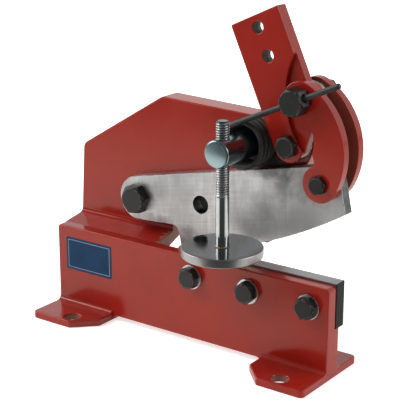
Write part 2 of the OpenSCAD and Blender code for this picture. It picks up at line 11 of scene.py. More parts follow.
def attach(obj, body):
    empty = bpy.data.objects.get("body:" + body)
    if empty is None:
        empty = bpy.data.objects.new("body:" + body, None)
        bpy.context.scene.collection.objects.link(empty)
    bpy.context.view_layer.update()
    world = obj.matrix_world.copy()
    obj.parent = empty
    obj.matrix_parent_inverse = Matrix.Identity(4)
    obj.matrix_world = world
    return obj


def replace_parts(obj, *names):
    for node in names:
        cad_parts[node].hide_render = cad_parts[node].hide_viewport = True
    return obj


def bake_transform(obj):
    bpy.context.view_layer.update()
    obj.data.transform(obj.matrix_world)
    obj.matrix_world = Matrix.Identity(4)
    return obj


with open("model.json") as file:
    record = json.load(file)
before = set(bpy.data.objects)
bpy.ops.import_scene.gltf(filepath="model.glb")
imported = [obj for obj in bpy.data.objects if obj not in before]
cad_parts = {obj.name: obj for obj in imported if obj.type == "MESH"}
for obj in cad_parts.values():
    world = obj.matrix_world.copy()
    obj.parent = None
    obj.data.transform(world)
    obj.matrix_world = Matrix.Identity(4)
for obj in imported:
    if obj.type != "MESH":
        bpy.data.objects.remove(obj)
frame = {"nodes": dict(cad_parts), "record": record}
nodes = frame["nodes"]
bodyOf = {name: body for body, names in frame["record"]["behaviour"]["bodies"].items() for name in names}
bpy.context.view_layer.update()  # the scene updated before anything is added
scene = bpy.context.scene
scene.view_settings.view_transform = "Standard"
mm = 0.001
print("stage: frame loaded,", len(nodes), "nodes")

# Joints and holes in the upright plane, and the hold-down screw's axis in plan, in mm
pivot, fulcrum, post = np.array([-68.5, 105.0]), np.array([80.0, 173.0]), np.array([44.0, 170.2])
pinJoint, linkJoint = np.array([91.459, 210.311]), np.array([109.743, 149.021])
barHole = np.array([-4.123, 110.914])
screwAxis = np.array([44.0, 9.0])


def uprightPoint(place, depth=0.0):  # a place in the upright plane as a point in m
    return (place[0] * mm, depth * mm, place[1] * mm)


def addObject(name, data):
    made = bpy.data.objects.new(name, data)
    scene.collection.objects.link(made)
    return made


def aim(made, way):  # turns a camera or lamp to look along a direction
    made.rotation_mode = "QUATERNION"
    made.rotation_quaternion = way.to_track_quat("-Z", "Y")


# Camera, at the angle and distance that the photograph was taken from
shot = {
    "target": (11.5, 25.0, 123.2),  # mm
    "azimuth": 36.0,  # degrees to the right of the front
    "elevation": 17.1,
    "distance": 976.6,  # mm
    "lens": 112.68,  # mm
    "sensor": 36.0,  # mm
}


def makeCamera():
    data = bpy.data.cameras.new("shotCamera")
    data.lens, data.sensor_width = shot["lens"], shot["sensor"]
    data.clip_start, data.clip_end = 0.01, 50.0
    turn, rise = math.radians(shot["azimuth"]), math.radians(shot["elevation"])
    back = Vector((math.sin(turn) * math.cos(rise), -math.cos(turn) * math.cos(rise), math.sin(rise)))
    scene.camera = addObject("shotCamera", data)
    scene.camera.location = (Vector(shot["target"]) + back * shot["distance"]) * mm
    aim(scene.camera, -back)


makeCamera()


# Shader helpers
def fill(tree, socket, value):  # a constant is set on the socket and an output is linked to it
    if isinstance(value, bpy.types.NodeSocket):
        tree.links.new(value, socket)
    else:
        socket.default_value = value


def addNode(tree, kind, settings=None, **inputs):  # inputs go by name, or by number as i0, i1 and so on
    made = tree.nodes.new(kind)
    for key, value in (settings or {}).items():
        setattr(made, key, value)
    for key, value in inputs.items():
        numbered = key[0] == "i" and key[1:].isdigit()
        fill(tree, made.inputs[int(key[1:]) if numbered else key], value)
    return made


def newGroup(name, inputs, outputs):  # an input that starts as a tuple is a vector; outputs are plain values
    tree = bpy.data.node_groups.new(name, "ShaderNodeTree")
    for label, value in inputs.items():
        kind = "NodeSocketVector" if isinstance(value, tuple) else "NodeSocketFloat"
        tree.interface.new_socket(label, in_out="INPUT", socket_type=kind).default_value = value
    for label in outputs:
        tree.interface.new_socket(label, in_out="OUTPUT", socket_type="NodeSocketFloat")
    return tree, tree.nodes.new("NodeGroupInput").outputs, tree.nodes.new("NodeGroupOutput").inputs


def useGroup(tree, group, **inputs):
    return addNode(tree, "ShaderNodeGroup", {"node_tree": group}, **inputs).outputs


def remap(tree, value, low, high, toLow=0.0, toHigh=1.0):
    return addNode(tree, "ShaderNodeMapRange", i0=value, i1=low, i2=high, i3=toLow, i4=toHigh).outputs[0]


def calc(tree, operation, first, second=0.0):
    return addNode(tree, "ShaderNodeMath", {"operation": operation}, i0=first, i1=second).outputs[0]


def times(tree, first, *others):
    for other in others:
        first = calc(tree, "MULTIPLY", first, other)
    return first


def above(tree, value, level):
    return calc(tree, "GREATER_THAN", value, level)


def below(tree, value, level):
    return calc(tree, "LESS_THAN", value, level)


def apart(tree, first, second):  # the size of the difference
    return calc(tree, "ABSOLUTE", calc(tree, "SUBTRACT", first, second))


def coarsen(tree, rough, mask, least):  # roughness is at least this where the mask is one
    return calc(tree, "MAXIMUM", rough, times(tree, mask, least))


def vector(tree, operation, first, **second):
    made = addNode(tree, "ShaderNodeVectorMath", {"operation": operation}, i0=first, **second)
    return made.outputs["Value" if operation in ("LENGTH", "DOT_PRODUCT") else "Vector"]


def fromAxis(tree, spot, centre, across):  # distance from an axis through the centre; across is zero along it
    away = vector(tree, "SUBTRACT", spot, i1=centre)
    return vector(tree, "LENGTH", vector(tree, "MULTIPLY", away, i1=across))


def split(tree, spot):
    return addNode(tree, "ShaderNodeSeparateXYZ", i0=spot).outputs


def splitNormal(tree):
    return split(tree, addNode(tree, "ShaderNodeNewGeometry").outputs["Normal"])


def facesRight(tree):  # one on faces that look to the right
    return above(tree, splitNormal(tree)["X"], 0.6)


def noise(tree, spot, scale, detail, roughness):
    given = {"Vector": spot, "Scale": scale, "Detail": detail, "Roughness": roughness}
    return addNode(tree, "ShaderNodeTexNoise", **given).outputs[0]


def mixColour(tree, share, first, second):
    made = addNode(tree, "ShaderNodeMix", {"data_type": "RGBA"})
    for index, value in ((0, share), (6, first), (7, second)):
        plain = isinstance(value, tuple) and len(value) == 3
        fill(tree, made.inputs[index], (*value, 1.0) if plain else value)
    return made.outputs[2]


def mottle(tree, value, low, high, dark, light):  # from dark to light as a value goes from low to high
    return mixColour(tree, remap(tree, value, low, high), dark, light)


def shade(colour, share):
    return tuple(share * part for part in colour)


# Shared effects
middle = (0.0, 0.0, 0.0)
acrossY, acrossZ = (1.0, 0.0, 1.0), (1.0, 1.0, 0.0)
mostNoise = (0.3, 0.7)  # the range that holds most values of a noise


def makeGrain():  # two sizes of noise: Fine is a skin of small bumps, Broad drifts over centimetres
    inputs = {"Vector": middle, "Fine Scale": 700.0, "Broad Scale": 30.0}
    tree, given, out = newGroup("surfaceGrain", inputs, ("Fine", "Broad"))
    for label, detail in (("Fine", 3.0), ("Broad", 4.0)):
        scale = given[label + " Scale"]
        fill(tree, out[label], noise(tree, given["Vector"], scale, detail, roughness=0.55))
    return tree


def makeBrushed():  # long streaks: noise squeezed along the brushing direction by the Squeeze vector
    inputs = {"Vector": middle, "Turn": middle, "Squeeze": (900.0, 40.0, 40.0)}
    tree, given, out = newGroup("brushedLines", inputs, ("Lines",))
    turned = addNode(tree, "ShaderNodeMapping", Vector=given["Vector"], Rotation=given["Turn"]).outputs[0]
    squeezed = vector(tree, "MULTIPLY", turned, i1=given["Squeeze"])
    fill(tree, out["Lines"], noise(tree, squeezed, scale=1.0, detail=5.0, roughness=0.7))
    return tree


def makeChips():  # small worn spots: noise above a level, so a higher Amount shows more of them
    tree, given, out = newGroup("wornSpots", {"Vector": middle, "Scale": 220.0, "Amount": 0.3}, ("Mask",))
    level = calc(tree, "SUBTRACT", 1.0, given["Amount"])
    dots = noise(tree, given["Vector"], given["Scale"], detail=5.0, roughness=0.65)
    over = calc(tree, "SUBTRACT", dots, level)
    fill(tree, out["Mask"], remap(tree, over, -0.02, 0.05))
    return tree


def makeBore():  # one inside a round hole: the distance from the hole's axis is less than its radius
    inputs = {"Vector": middle, "Centre": middle, "Across": acrossY, "Radius": 0.005}
    tree, given, out = newGroup("boreWall", inputs, ("Mask",))
    far = fromAxis(tree, given["Vector"], given["Centre"], given["Across"])
    fill(tree, out["Mask"], below(tree, far, given["Radius"]))
    return tree


def makeDust():  # dust on faces that look up, broken by noise
    tree, given, out = newGroup("settledDust", {"Vector": middle, "Amount": 0.1}, ("Mask",))
    facing = remap(tree, splitNormal(tree)["Z"], 0.35, 1.0)
    dots = noise(tree, given["Vector"], scale=90.0, detail=6.0, roughness=0.7)
    spread = remap(tree, dots, 0.35, 0.75)
    fill(tree, out["Mask"], times(tree, facing, spread, given["Amount"]))
    return tree


def makeSmudge():  # one in the middle of an oval, falling to nothing at its ragged edge
    inputs = {"Vector": middle, "Centre": middle, "Size": (0.01, 1.0, 0.01)}
    tree, given, out = newGroup("oilAndShadeSmudge", inputs, ("Mask",))
    away = vector(tree, "SUBTRACT", given["Vector"], i1=given["Centre"])
    far = vector(tree, "LENGTH", vector(tree, "DIVIDE", away, i1=given["Size"]))
    rag = noise(tree, given["Vector"], scale=110.0, detail=4.0, roughness=0.6)
    rag = remap(tree, rag, *mostNoise, -0.3, 0.3)
    fill(tree, out["Mask"], remap(tree, calc(tree, "ADD", far, rag), 0.25, 1.0, 1.0, 0.0))
    return tree


grain, brushed, wornSpots, boreWall = makeGrain(), makeBrushed(), makeChips(), makeBore()
settledDust, oilAndShadeSmudge = makeDust(), makeSmudge()


def inBore(tree, spot, centre, across, radius):
    return useGroup(tree, boreWall, Vector=spot, Centre=centre, Across=across, Radius=radius)["Mask"]


def smudge(tree, spot, centre, wide, high):  # half width and half height in mm
    return useGroup(tree, oilAndShadeSmudge, Vector=spot, Centre=centre, Size=(wide * mm, 1.0, high * mm))["Mask"]


def skinOf(tree, spot, fine, broad):
    return useGroup(tree, grain, Vector=spot, **{"Fine Scale": fine, "Broad Scale": broad})


def newMaterial(name, **principled):
    made = bpy.data.materials.new(name)
    made.use_nodes = True
    tree = made.node_tree
    shader = tree.nodes["Principled BSDF"].inputs
    for key, value in principled.items():
        shader[key].default_value = value
    return made, tree, shader, addNode(tree, "ShaderNodeTexCoord").outputs["Object"]


def dress(tree, shader, colour, rough, height, strength, distance):  # colour, roughness and bumps
    fill(tree, shader["Base Color"], colour)
    fill(tree, shader["Roughness"], rough)
    bumps = addNode(tree, "ShaderNodeBump", Height=height, Strength=strength, Distance=distance)
    fill(tree, shader["Normal"], bumps.outputs[0])


# Red semi-gloss paint: orange-peel skin, slow drift of tone, pale chips on the edges, bare machined walls;
# rounded edges lighter all over as a painted highlight with wear, and dark patches of painted shade in
# hollows and gaps
paintLook = {
    "red": (0.305, 0.0125, 0.0070),
    "deep": (0.268, 0.0098, 0.0052),
    "worn": (0.36, 0.040, 0.033),
    "chip": (0.24, 0.12, 0.10),
    "bare": (0.215, 0.088, 0.060),
    "bore": (0.016, 0.014, 0.013),
    "paintedShadeDark": (0.010, 0.009, 0.009),
    "oil": (0.10, 0.070, 0.045),
    "dust": (0.40, 0.28, 0.26),
    "sheen": (1.0, 0.94, 0.82, 1.0),
    "roughness": (0.13, 0.21),
    "peel": {"strength": 0.06, "distance": 0.0004},
    "dull": {"coil": 0.75, "film": 0.6, "wall": 0.45},  # least roughness of the painted shade inside the coil, of patches of painted shade, and of cut places
}
machined = {  # the end of the throat, in mm
    "wall": -39.5, "lip": 35.3, "under": 58.0, "top": 83.5, "blade": -17.9,
    "reach": 7.0, "skin": 0.4, "start": 0.3, "grain": (40.0, 420.0, 40.0),
}


def bareThroat(tree, spot):
    # One on the throat's end wall, and in ragged tongues on the ledge's top beside it
    m = machined
    place = split(tree, spot)
    wall = m["wall"] * mm
    near = below(tree, apart(tree, place["X"], wall), m["skin"] * mm)
    faced = times(tree, near, facesRight(tree))
    squeezed = vector(tree, "MULTIPLY", spot, i1=m["grain"])
    rag = noise(tree, squeezed, scale=1.0, detail=4.0, roughness=0.6)
    tongue = remap(tree, rag, 0.42, 0.62, 0.0, m["reach"] * mm)
    beside = above(tree, calc(tree, "ADD", place["X"], tongue), wall + m["start"] * mm)
    behind = above(tree, place["Y"], m["lip"] * mm)
    inside = below(tree, place["X"], m["blade"] * mm)
    top = times(tree, beside, behind, inside, below(tree, place["Z"], m["top"] * mm))
    return times(tree, above(tree, place["Z"], m["under"] * mm), calc(tree, "MAXIMUM", faced, top))


def paintMaterial(name, edge=0.0, chips=0.0, bores=(), boreTone="bare", coil=None, throat=False, shadePatches=()):
    made, tree, shader, spot = newMaterial(name, **{"IOR": 1.5, "Specular Tint": paintLook["sheen"]})
    skin = skinOf(tree, spot, fine=420.0, broad=22.0)
    colour = mottle(tree, skin["Broad"], 0.35, 0.65, paintLook["deep"], paintLook["red"])
    # the whole rounded edge turns lighter: a painted highlight along it, with wear
    if edge:
        colour = mixColour(tree, edge, colour, paintLook["worn"])
    if chips:
        spots = useGroup(tree, wornSpots, Vector=spot, Scale=260.0, Amount=chips)["Mask"]
        colour = mixColour(tree, spots, colour, paintLook["chip"])
    dust = useGroup(tree, settledDust, Vector=spot, Amount=0.05)["Mask"]
    colour = mixColour(tree, dust, colour, paintLook["dust"])
    rough = remap(tree, skin["Broad"], *mostNoise, *paintLook["roughness"])
    depth = split(tree, spot)["Y"]
    marksAndShades = []  # mask, tone and kind of what lies on the paint, lays it bare, or paints shade on it
    if coil:  # painted shade: near black on the plate's front inside the coil, where the coil shades it
        ring = inBore(tree, spot, uprightPoint(post), acrossY, coil["reach"] * mm)
        marksAndShades.append((times(tree, ring, below(tree, depth, coil["front"] * mm)), "paintedShadeDark", "coil"))
    for x, z, wide, high, front, strength, tone in shadePatches:  # ragged patches of painted shade on a front face, in mm
        smear = smudge(tree, spot, uprightPoint((x, z)), wide, high)
        marksAndShades.append((times(tree, smear, below(tree, depth, front * mm), strength), tone, "film"))
    marksAndShades += [(inBore(tree, spot, *bore), boreTone, "wall") for bore in bores]
    if throat:
        marksAndShades.append((bareThroat(tree, spot), boreTone, "wall"))
    for mask, tone, kind in marksAndShades:
        colour = mixColour(tree, mask, colour, paintLook[tone])
        rough = coarsen(tree, rough, mask, paintLook["dull"][kind])
    dress(tree, shader, colour, rough, skin["Fine"], **paintLook["peel"])
    return made


# Ground steel of the blades: fine lines along the length, slow bands across it, darker sawn ends
bladeMarks = {
    "oilAndShadeSmudges": (  # oil on the moving blade's front, with painted shadow and dark reflection of the coil where they lie under it: x, z, half width and half height in mm, strength
        (60.0, 150.0, 30.0, 8.5, 0.70), (74.0, 143.0, 9.0, 22.0, 0.55), (55.0, 121.0, 15.0, 17.0, 0.40),
        (-19.0, 86.0, 13.0, 6.0, 0.65), (-47.0, 89.5, 20.0, 7.0, 0.60), (98.0, 147.0, 24.0, 20.0, 0.50),
        (-22.0, 97.0, 20.0, 10.0, 0.30), (-44.0, 119.0, 8.0, 14.0, 0.25), (-82.0, 112.0, 12.0, 16.0, 0.45),
    ),
    "front": 47.0,  # mm along Y
    "oil": (0.20, 0.212, 0.214),
    "brightLine": (78.4, 108.0, 141.0),  # x, from and up to z in mm
    "thin": (0.2, 0.9), "rise": 5.0, "fall": 18.0,  # how it thins out beside its line and at its ends, in mm
    "bright": (0.95, 0.95, 0.95),
    "hole": (0.020, 0.018, 0.016),
    "holeRadius": 7.56,  # mm
}


def smudgedBlade(tree, spot, colour):
    # Oval smudges of oil and of painted shadow and dark reflection under the coil, a thin bright line up the
    # blade, and near-black in the hole for bars as painted shade
    look = bladeMarks
    for x, z, wide, high, strength in look["oilAndShadeSmudges"]:
        mask = smudge(tree, spot, uprightPoint((x, z), look["front"]), wide, high)
        colour = mixColour(tree, times(tree, mask, strength), colour, look["oil"])
    place = split(tree, spot)
    # a thin bright line up the blade
    at, low, high = (value * mm for value in look["brightLine"])
    near, wide = (value * mm for value in look["thin"])
    thin = remap(tree, apart(tree, place["X"], at), near, wide, 0.7, 0.0)
    rise = remap(tree, place["Z"], low, low + look["rise"] * mm)
    fall = remap(tree, place["Z"], high - look["fall"] * mm, high, 1.0, 0.0)
    colour = mixColour(tree, times(tree, thin, times(tree, rise, fall)), colour, look["bright"])
    # painted shade: the wall of the hole for bars made near black
    bore = inBore(tree, spot, uprightPoint(barHole), acrossY, look["holeRadius"] * mm)
    return mixColour(tree, bore, colour, look["hole"])


steelLook = {
    "bands": 0.62, "lines": 0.38,  # shares in the tone
    "level": (0.36, 0.62),  # where the tone goes from dark to light
    "stain": (0.47, 0.66, 0.0, 0.70), "stained": 0.78,  # noise and its share, and the share of the dark tone
    "grooves": {"strength": 0.12, "distance": 0.00008},
}


def steelMaterial(name, tones, lines, bands, roughness, turn=0.0, fade=None, sawn=None, marked=False):
    look, (tone, dark) = steelLook, tones
    made, tree, shader, spot = newMaterial(name, Metallic=1.0)
    marks = useGroup(tree, brushed, Vector=spot, Turn=(0.0, math.radians(turn), 0.0), Squeeze=lines)["Lines"]
    broad = useGroup(tree, brushed, Vector=spot, Squeeze=bands)["Lines"]
    skin = skinOf(tree, spot, fine=260.0, broad=18.0)
    level = calc(tree, "ADD", times(tree, broad, look["bands"]), times(tree, marks, look["lines"]))
    colour = mottle(tree, level, *look["level"], dark, tone)
    stain = remap(tree, skin["Broad"], *look["stain"])
    colour = mixColour(tree, stain, colour, shade(dark, look["stained"]))
    if fade:  # another tone towards the right end
        start, end, share, other = fade
        colour = mixColour(tree, remap(tree, split(tree, spot)["X"], start, end, 0.0, share), colour, other)
    if marked:
        colour = smudgedBlade(tree, spot, colour)
    if sawn:  # the right end is left as it was sawn
        cut = mottle(tree, skin["Fine"], 0.35, 0.65, shade(sawn, 0.6), sawn)
        colour = mixColour(tree, facesRight(tree), colour, cut)
    rough = remap(tree, marks, *mostNoise, *roughness)
    dress(tree, shader, colour, rough, marks, **look["grooves"])
    return made


# Black oxide on bolts, pin and spring
blackLook = {"tone": (0.011, 0.011, 0.0115), "rubbed": (0.10, 0.098, 0.095), "roughness": (0.34, 0.52)}


def blackMaterial(name, tone=blackLook["tone"], edge=0.0):
    made, tree, shader, spot = newMaterial(name, IOR=1.46)
    skin = skinOf(tree, spot, fine=900.0, broad=120.0)
    colour = mottle(tree, skin["Broad"], *mostNoise, shade(tone, 0.6), shade(tone, 1.5))
    if edge:
        rub = useGroup(tree, wornSpots, Vector=spot, Scale=420.0, Amount=0.5)["Mask"]
        colour = mixColour(tree, times(tree, rub, edge), colour, blackLook["rubbed"])
    rough = remap(tree, skin["Broad"], *mostNoise, *blackLook["roughness"])
    dress(tree, shader, colour, rough, skin["Fine"], strength=0.10, distance=0.00012)
    return made


# Zinc and polished plating: mottled, faintly blue
def platedMaterial(
    name, tones, roughness, fine=700.0, broad=110.0, rings=None, groove=None, rim=None, dome=None
):
    tone, dark = tones
    made, tree, shader, spot = newMaterial(name, Metallic=1.0)
    skin = skinOf(tree, spot, fine, broad)
    colour = mottle(tree, skin["Broad"], 0.32, 0.68, dark, tone)
    rough = remap(tree, skin["Broad"], *mostNoise, *roughness)
    bumps = {"height": skin["Fine"], "strength": 0.06, "distance": 0.00010}
    if groove or rim or rings:
        far = fromAxis(tree, spot, (*(screwAxis * mm), 0.0), acrossZ)
    if groove:  # thread roots darker than the crests as painted shade in the grooves, darker still above the post as dirt; cut faces are rougher than the shank
        height = split(tree, spot)["Z"]
        root = mixColour(tree, remap(tree, height, *groove["dirtier"]), groove["clean"], groove["dirt"])
        colour = mixColour(tree, remap(tree, far, *groove["depth"]), root, colour)
        cut = times(tree, above(tree, height, groove["cut"][0]), below(tree, height, groove["cut"][1]))
        rough = coarsen(tree, rough, cut, groove["coarse"])
    if rim:  # the rough turned edge of the disc, paler than the top: a painted highlight on the rounded rim
        side = remap(tree, far, rim["from"], rim["from"] + 0.0003)
        turned = mixColour(tree, skin["Fine"], shade(rim["tone"], 0.5), rim["tone"])
        colour = mixColour(tree, side, colour, turned)
        rough = coarsen(tree, rough, side, rim["coarse"])
    if rings:  # turning marks: a wave of the distance from the axis
        wave = calc(tree, "SINE", times(tree, far, rings["count"]))
        height = calc(tree, "ADD", times(tree, wave, 0.4), skin["Fine"])
        bumps = {"height": height, "strength": rings["strength"], "distance": 0.00003}
    if dome:  # a slightly round end face: its height falls with the square of the distance from the axis
        away = fromAxis(tree, spot, uprightPoint(post), acrossY)
        peel = times(tree, skin["Fine"], 0.000006)
        height = calc(tree, "ADD", times(tree, away, away, -dome), peel)
        bumps = {"height": height, "strength": 1.0, "distance": 1.0}
    dress(tree, shader, colour, rough, **bumps)
    return made


footBores = [((x * mm, 0.0, 0.0), acrossZ, 6.95 * mm) for x in (-103.5, 103.5)]
handleBores = [(uprightPoint(place), acrossY, 4.9 * mm) for place in ((51.04, 259.81), (60.42, 239.24))]
# painted shade on the plate's front, below the coil and the lever's boss
plateShadePatches = (
    (56.0, 156.0, 19.0, 15.0, 62.0, 0.95, "paintedShadeDark"), (70.0, 150.0, 30.0, 8.0, 62.0, 0.75, "paintedShadeDark"),
)
# painted shade over the rear link's front face, in the gap behind the front link
rearLinkShade = ((100.0, 180.0, 900.0, 900.0, 61.1, 0.55, "oil"),)
paint = paintMaterial("redPaint")
# the casting's paint also carries painted shade inside the coil and below it
castPaint = paintMaterial(
    "castingPaint", bores=footBores, coil={"reach": 18.8, "front": 62.0}, throat=True, shadePatches=plateShadePatches
)
rearLinkPaint = paintMaterial("rearLinkPaint", shadePatches=rearLinkShade)
# paint of the rounded edges: lighter all over as a painted highlight with wear, and chipped
paintEdgeWearAndHighlight = paintMaterial("redPaintEdgeWearAndHighlight", edge=0.35, chips=0.22)
# the lever's handle holes get near-black walls: painted shade inside them
leverPaint = paintMaterial("leverPaint", bores=handleBores, boreTone="bore")
# the moving blade's steel turns lighter towards its right end: painted light
bladeSteel = steelMaterial(
    "groundBlade", ((0.84, 0.85, 0.86), (0.50, 0.507, 0.515)), (24.0, 30.0, 620.0), (95.0, 10.0, 16.0),
    (0.42, 0.56), turn=12.0, fade=(0.035, 0.070, 0.55, (0.90, 0.91, 0.915)), sawn=(0.15, 0.165, 0.165),
    marked=True,
)
lowerSteel = steelMaterial(
    "lowerBladeSteel", ((0.47, 0.487, 0.483), (0.30, 0.312, 0.308)), (26.0, 700.0, 60.0), (30.0, 30.0, 30.0),
    (0.36, 0.52), fade=(0.1296, 0.1297, 1.0, (0.012, 0.014, 0.014)),
)
dieSteel = steelMaterial(
    "dieSteel", ((0.06, 0.051, 0.042), (0.03, 0.025, 0.022)), (300.0, 60.0, 300.0), (60.0, 60.0, 60.0),
    (0.4, 0.55),
)
blackSteel = blackMaterial("blackOxide")
blackEdge = blackMaterial("blackOxideEdge", edge=0.8)
springBlack = blackMaterial("springBlack", tone=(0.024, 0.0245, 0.0245))
zinc = platedMaterial("zincPlate", ((0.72, 0.735, 0.74), (0.55, 0.57, 0.58)), (0.22, 0.36))
postZinc = platedMaterial(
    "postZinc", ((0.35, 0.47, 0.50), (0.27, 0.38, 0.41)), (0.16, 0.26), broad=90.0, dome=7.0
)
screwZinc = platedMaterial(
    "screwZinc", ((0.62, 0.655, 0.665), (0.47, 0.505, 0.515)), (0.12, 0.22),
    groove={
        "depth": (0.0045, 0.0050), "clean": (0.25, 0.255, 0.25), "dirt": (0.075, 0.098, 0.104),
        "dirtier": (0.165, 0.175), "cut": (0.1365, 0.1943), "coarse": 0.36,
    },
)
# the disc's dark tone paints in the dark that its polished top reflects: a painted reflection
discChrome = platedMaterial(
    "discChrome", ((0.19, 0.191, 0.191), (0.155, 0.157, 0.157)), (0.10, 0.17), fine=900.0, broad=60.0,
    rings={"count": 9000.0, "strength": 0.10},
    rim={"from": 0.0311, "tone": (0.54, 0.54, 0.535), "coarse": 0.36},
)
brazeGold = platedMaterial(
    "brazeMetal", ((0.50, 0.38, 0.19), (0.24, 0.17, 0.08)), (0.34, 0.52), fine=1200.0, broad=500.0
)
print("stage: materials made")


# Mesh helpers
def newPiece(name, points, faces, body, material, sharp):  # points in mm
    mesh = bpy.data.meshes.new(name)
    mesh.from_pydata((points.reshape(-1, 3) * mm).tolist(), [], faces)
    mesh.validate()
    made = addObject(name, mesh)
    mesh.materials.append(material)
    mesh.shade_smooth()
    mesh.set_sharp_from_angle(angle=math.radians(sharp))
    if body:
        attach(made, body)
    return made


def evenNormals(made):
    even = made.modifiers.new("flatFaces", "WEIGHTED_NORMAL")
    even.weight = 100
    even.keep_sharp = True


def gridFaces(rows, columns, closeColumns=True):  # quads between neighbouring rows and columns of a grid
    last = columns if closeColumns else columns - 1
    i, j = np.meshgrid(np.arange(rows - 1), np.arange(last), indexing="ij")
    k = (j + 1) % columns
    quads = [i * columns + j, i * columns + k, (i + 1) * columns + k, (i + 1) * columns + j]
    return np.stack(quads, -1).reshape(-1, 4)


def tubeFaces(rows, columns, flip=False):  # the wall of a tube and its two end faces
    faces = gridFaces(rows, columns).tolist()
    faces += [list(range(columns))[::-1], list(range((rows - 1) * columns, rows * columns))]
    return [face[::-1] for face in faces] if flip else faces


def ringAngles(count):
    return np.arange(count)[None, :] * 2 * np.pi / count


def turnedPiece(name, profile, base, material, columns, sharp, wobble=None):
    # A profile of (radius, height) rows turned round the screw's axis:
    # x - radius * sin, y + radius * cos, base + height
    angle = ringAngles(columns)
    radius, height = (np.repeat(profile[:, i:i + 1], columns, 1) for i in (0, 1))
    if wobble:
        radius, height = wobble(radius, height, angle)
    x, y = screwAxis
    points = np.stack([x - radius * np.sin(angle), y + radius * np.cos(angle), base + height], -1)
    return newPiece(name, points, tubeFaces(len(profile), columns), "hold_down", material, sharp)


# Outlines: arrays of points, counter-clockwise with the material on the left
def arc(centre, radius, start, end, steps=24):  # points at even angles, in degrees
    angle = np.radians(np.linspace(start, end, steps + 1))
    return np.array(centre) + radius * np.stack([np.cos(angle), np.sin(angle)], -1)


def circle(centre, radius, steps=48):
    return arc(centre, radius, 0.0, 360.0, steps)[:-1]


def heading(way):  # the angle of a direction, in degrees
    return math.degrees(math.atan2(way[1], way[0]))


def cornerArc(before, corner, after, radius, steps=8):  # the arc that touches both sides of a corner
    before, corner, after = (np.array(point, float) for point in (before, corner, after))
    toBefore, toAfter = ((point - corner) / np.linalg.norm(point - corner) for point in (before, after))
    half = math.acos(float(np.clip(toBefore @ toAfter, -1, 1))) / 2
    inward = toBefore + toAfter
    centre = corner + inward / np.linalg.norm(inward) * radius / math.sin(half)
    touch = radius / math.tan(half)
    start = heading(corner + toBefore * touch - centre)
    swing = (heading(corner + toAfter * touch - centre) - start + 180.0) % 360.0 - 180.0
    return arc(centre, radius, start, start + swing, steps)


def rounded(corners):  # an outline of (a, b, radius) corners
    flat = np.array(corners, float)
    spots, radii = flat[:, :2], flat[:, 2]
    after = np.roll(spots, -1, 0)
    return np.concatenate([
        cornerArc(spots[i - 1], spots[i], after[i], radii[i]) if radii[i] else spots[i:i + 1]
        for i in range(len(flat))
    ])


def turnedBy(points, degrees):
    c, s = math.cos(math.radians(degrees)), math.sin(math.radians(degrees))
    return np.asarray(points) @ np.array([[c, s], [-s, c]])


def inset(loop, amount):  # each point moved to the left of the path, along the mitre of its two sides
    ahead = np.roll(loop, -1, 0) - loop
    ahead = ahead / np.linalg.norm(ahead, axis=1)[:, None]
    left = np.stack([-ahead[:, 1], ahead[:, 0]], -1)
    before = np.roll(left, 1, 0)
    return loop + amount * (left + before) / np.maximum(1 + (left * before).sum(1), 0.3)[:, None]


def leftward(loop):  # the same outline, counter-clockwise
    after = np.roll(loop, -1, 0)
    area = (loop[:, 0] * after[:, 1] - loop[:, 1] * after[:, 0]).sum()
    return loop if area > 0 else loop[::-1]


# Planes of slabs: two directions of the outline; the depth runs against their cross product
upright, plan, section = ((1, 0, 0), (0, 0, 1)), ((1, 0, 0), (0, 1, 0)), ((0, 1, 0), (0, 0, 1))


def capFaces(loops, ids, flip):  # triangles over an outline and its holes, all turned the same way
    spots = np.concatenate(loops)
    corners = np.array(tessellate_polygon([[(*p, 0.0) for p in flat] for flat in loops]))
    one, two = (spots[corners[:, i]] - spots[corners[:, 0]] for i in (1, 2))
    area = one[:, 0] * two[:, 1] - one[:, 1] * two[:, 0]
    wrong = (area > 0) if flip else (area < 0)
    corners[wrong] = corners[wrong][:, ::-1]
    return ids[corners[np.abs(area) > 1e-9]].tolist()


def slab(plane, outer, near, far, edges, holes=(), steps=3, wobble=None):
    # An outline carried along the depth from near to far; at both ends it draws in by a quarter circle of
    # the edge's radius. Rows are rings of the outline, columns its points, and the two caps are triangulated.
    u, v = np.array(plane[0], float), np.array(plane[1], float)
    deep = -np.cross(u, v)
    t = np.linspace(0, np.pi / 2, steps + 1)
    first = np.stack([edges[0] * (1 - np.sin(t)), near + edges[0] * (1 - np.cos(t))], -1)
    last = np.stack([edges[1] * (1 - np.sin(t)), far - edges[1] * (1 - np.cos(t))], -1)[::-1]
    rings = np.concatenate([first, last])
    rows = len(rings)
    points, faces, looks, flats, starts, start = [], [], [], [], [], 0
    for loop in [outer] + [hole[::-1] for hole in holes]:
        flat = np.stack([inset(loop, amount) for amount in rings[:, 0]])
        depth = np.broadcast_to(rings[:, 1:], flat.shape[:2])
        points.append((flat[..., :1] * u + flat[..., 1:] * v + depth[..., None] * deep).reshape(-1, 3))
        faces += (gridFaces(rows, len(loop))[:, ::-1] + start).tolist()
        row = np.repeat(np.arange(rows - 1), len(loop))
        looks += ((row < steps) | (row > rows - 2 - steps)).astype(int).tolist()
        flats.append(flat)
        starts.append(start)
        start += rows * len(loop)
    for ring in (0, rows - 1):
        ids = [at + ring * flat.shape[1] + np.arange(flat.shape[1]) for at, flat in zip(starts, flats)]
        faces += capFaces([flat[ring] for flat in flats], np.concatenate(ids), ring > 0)
    looks += [0] * (len(faces) - len(looks))
    points = np.concatenate(points)
    return (wobble(points) if wobble else points), faces, looks


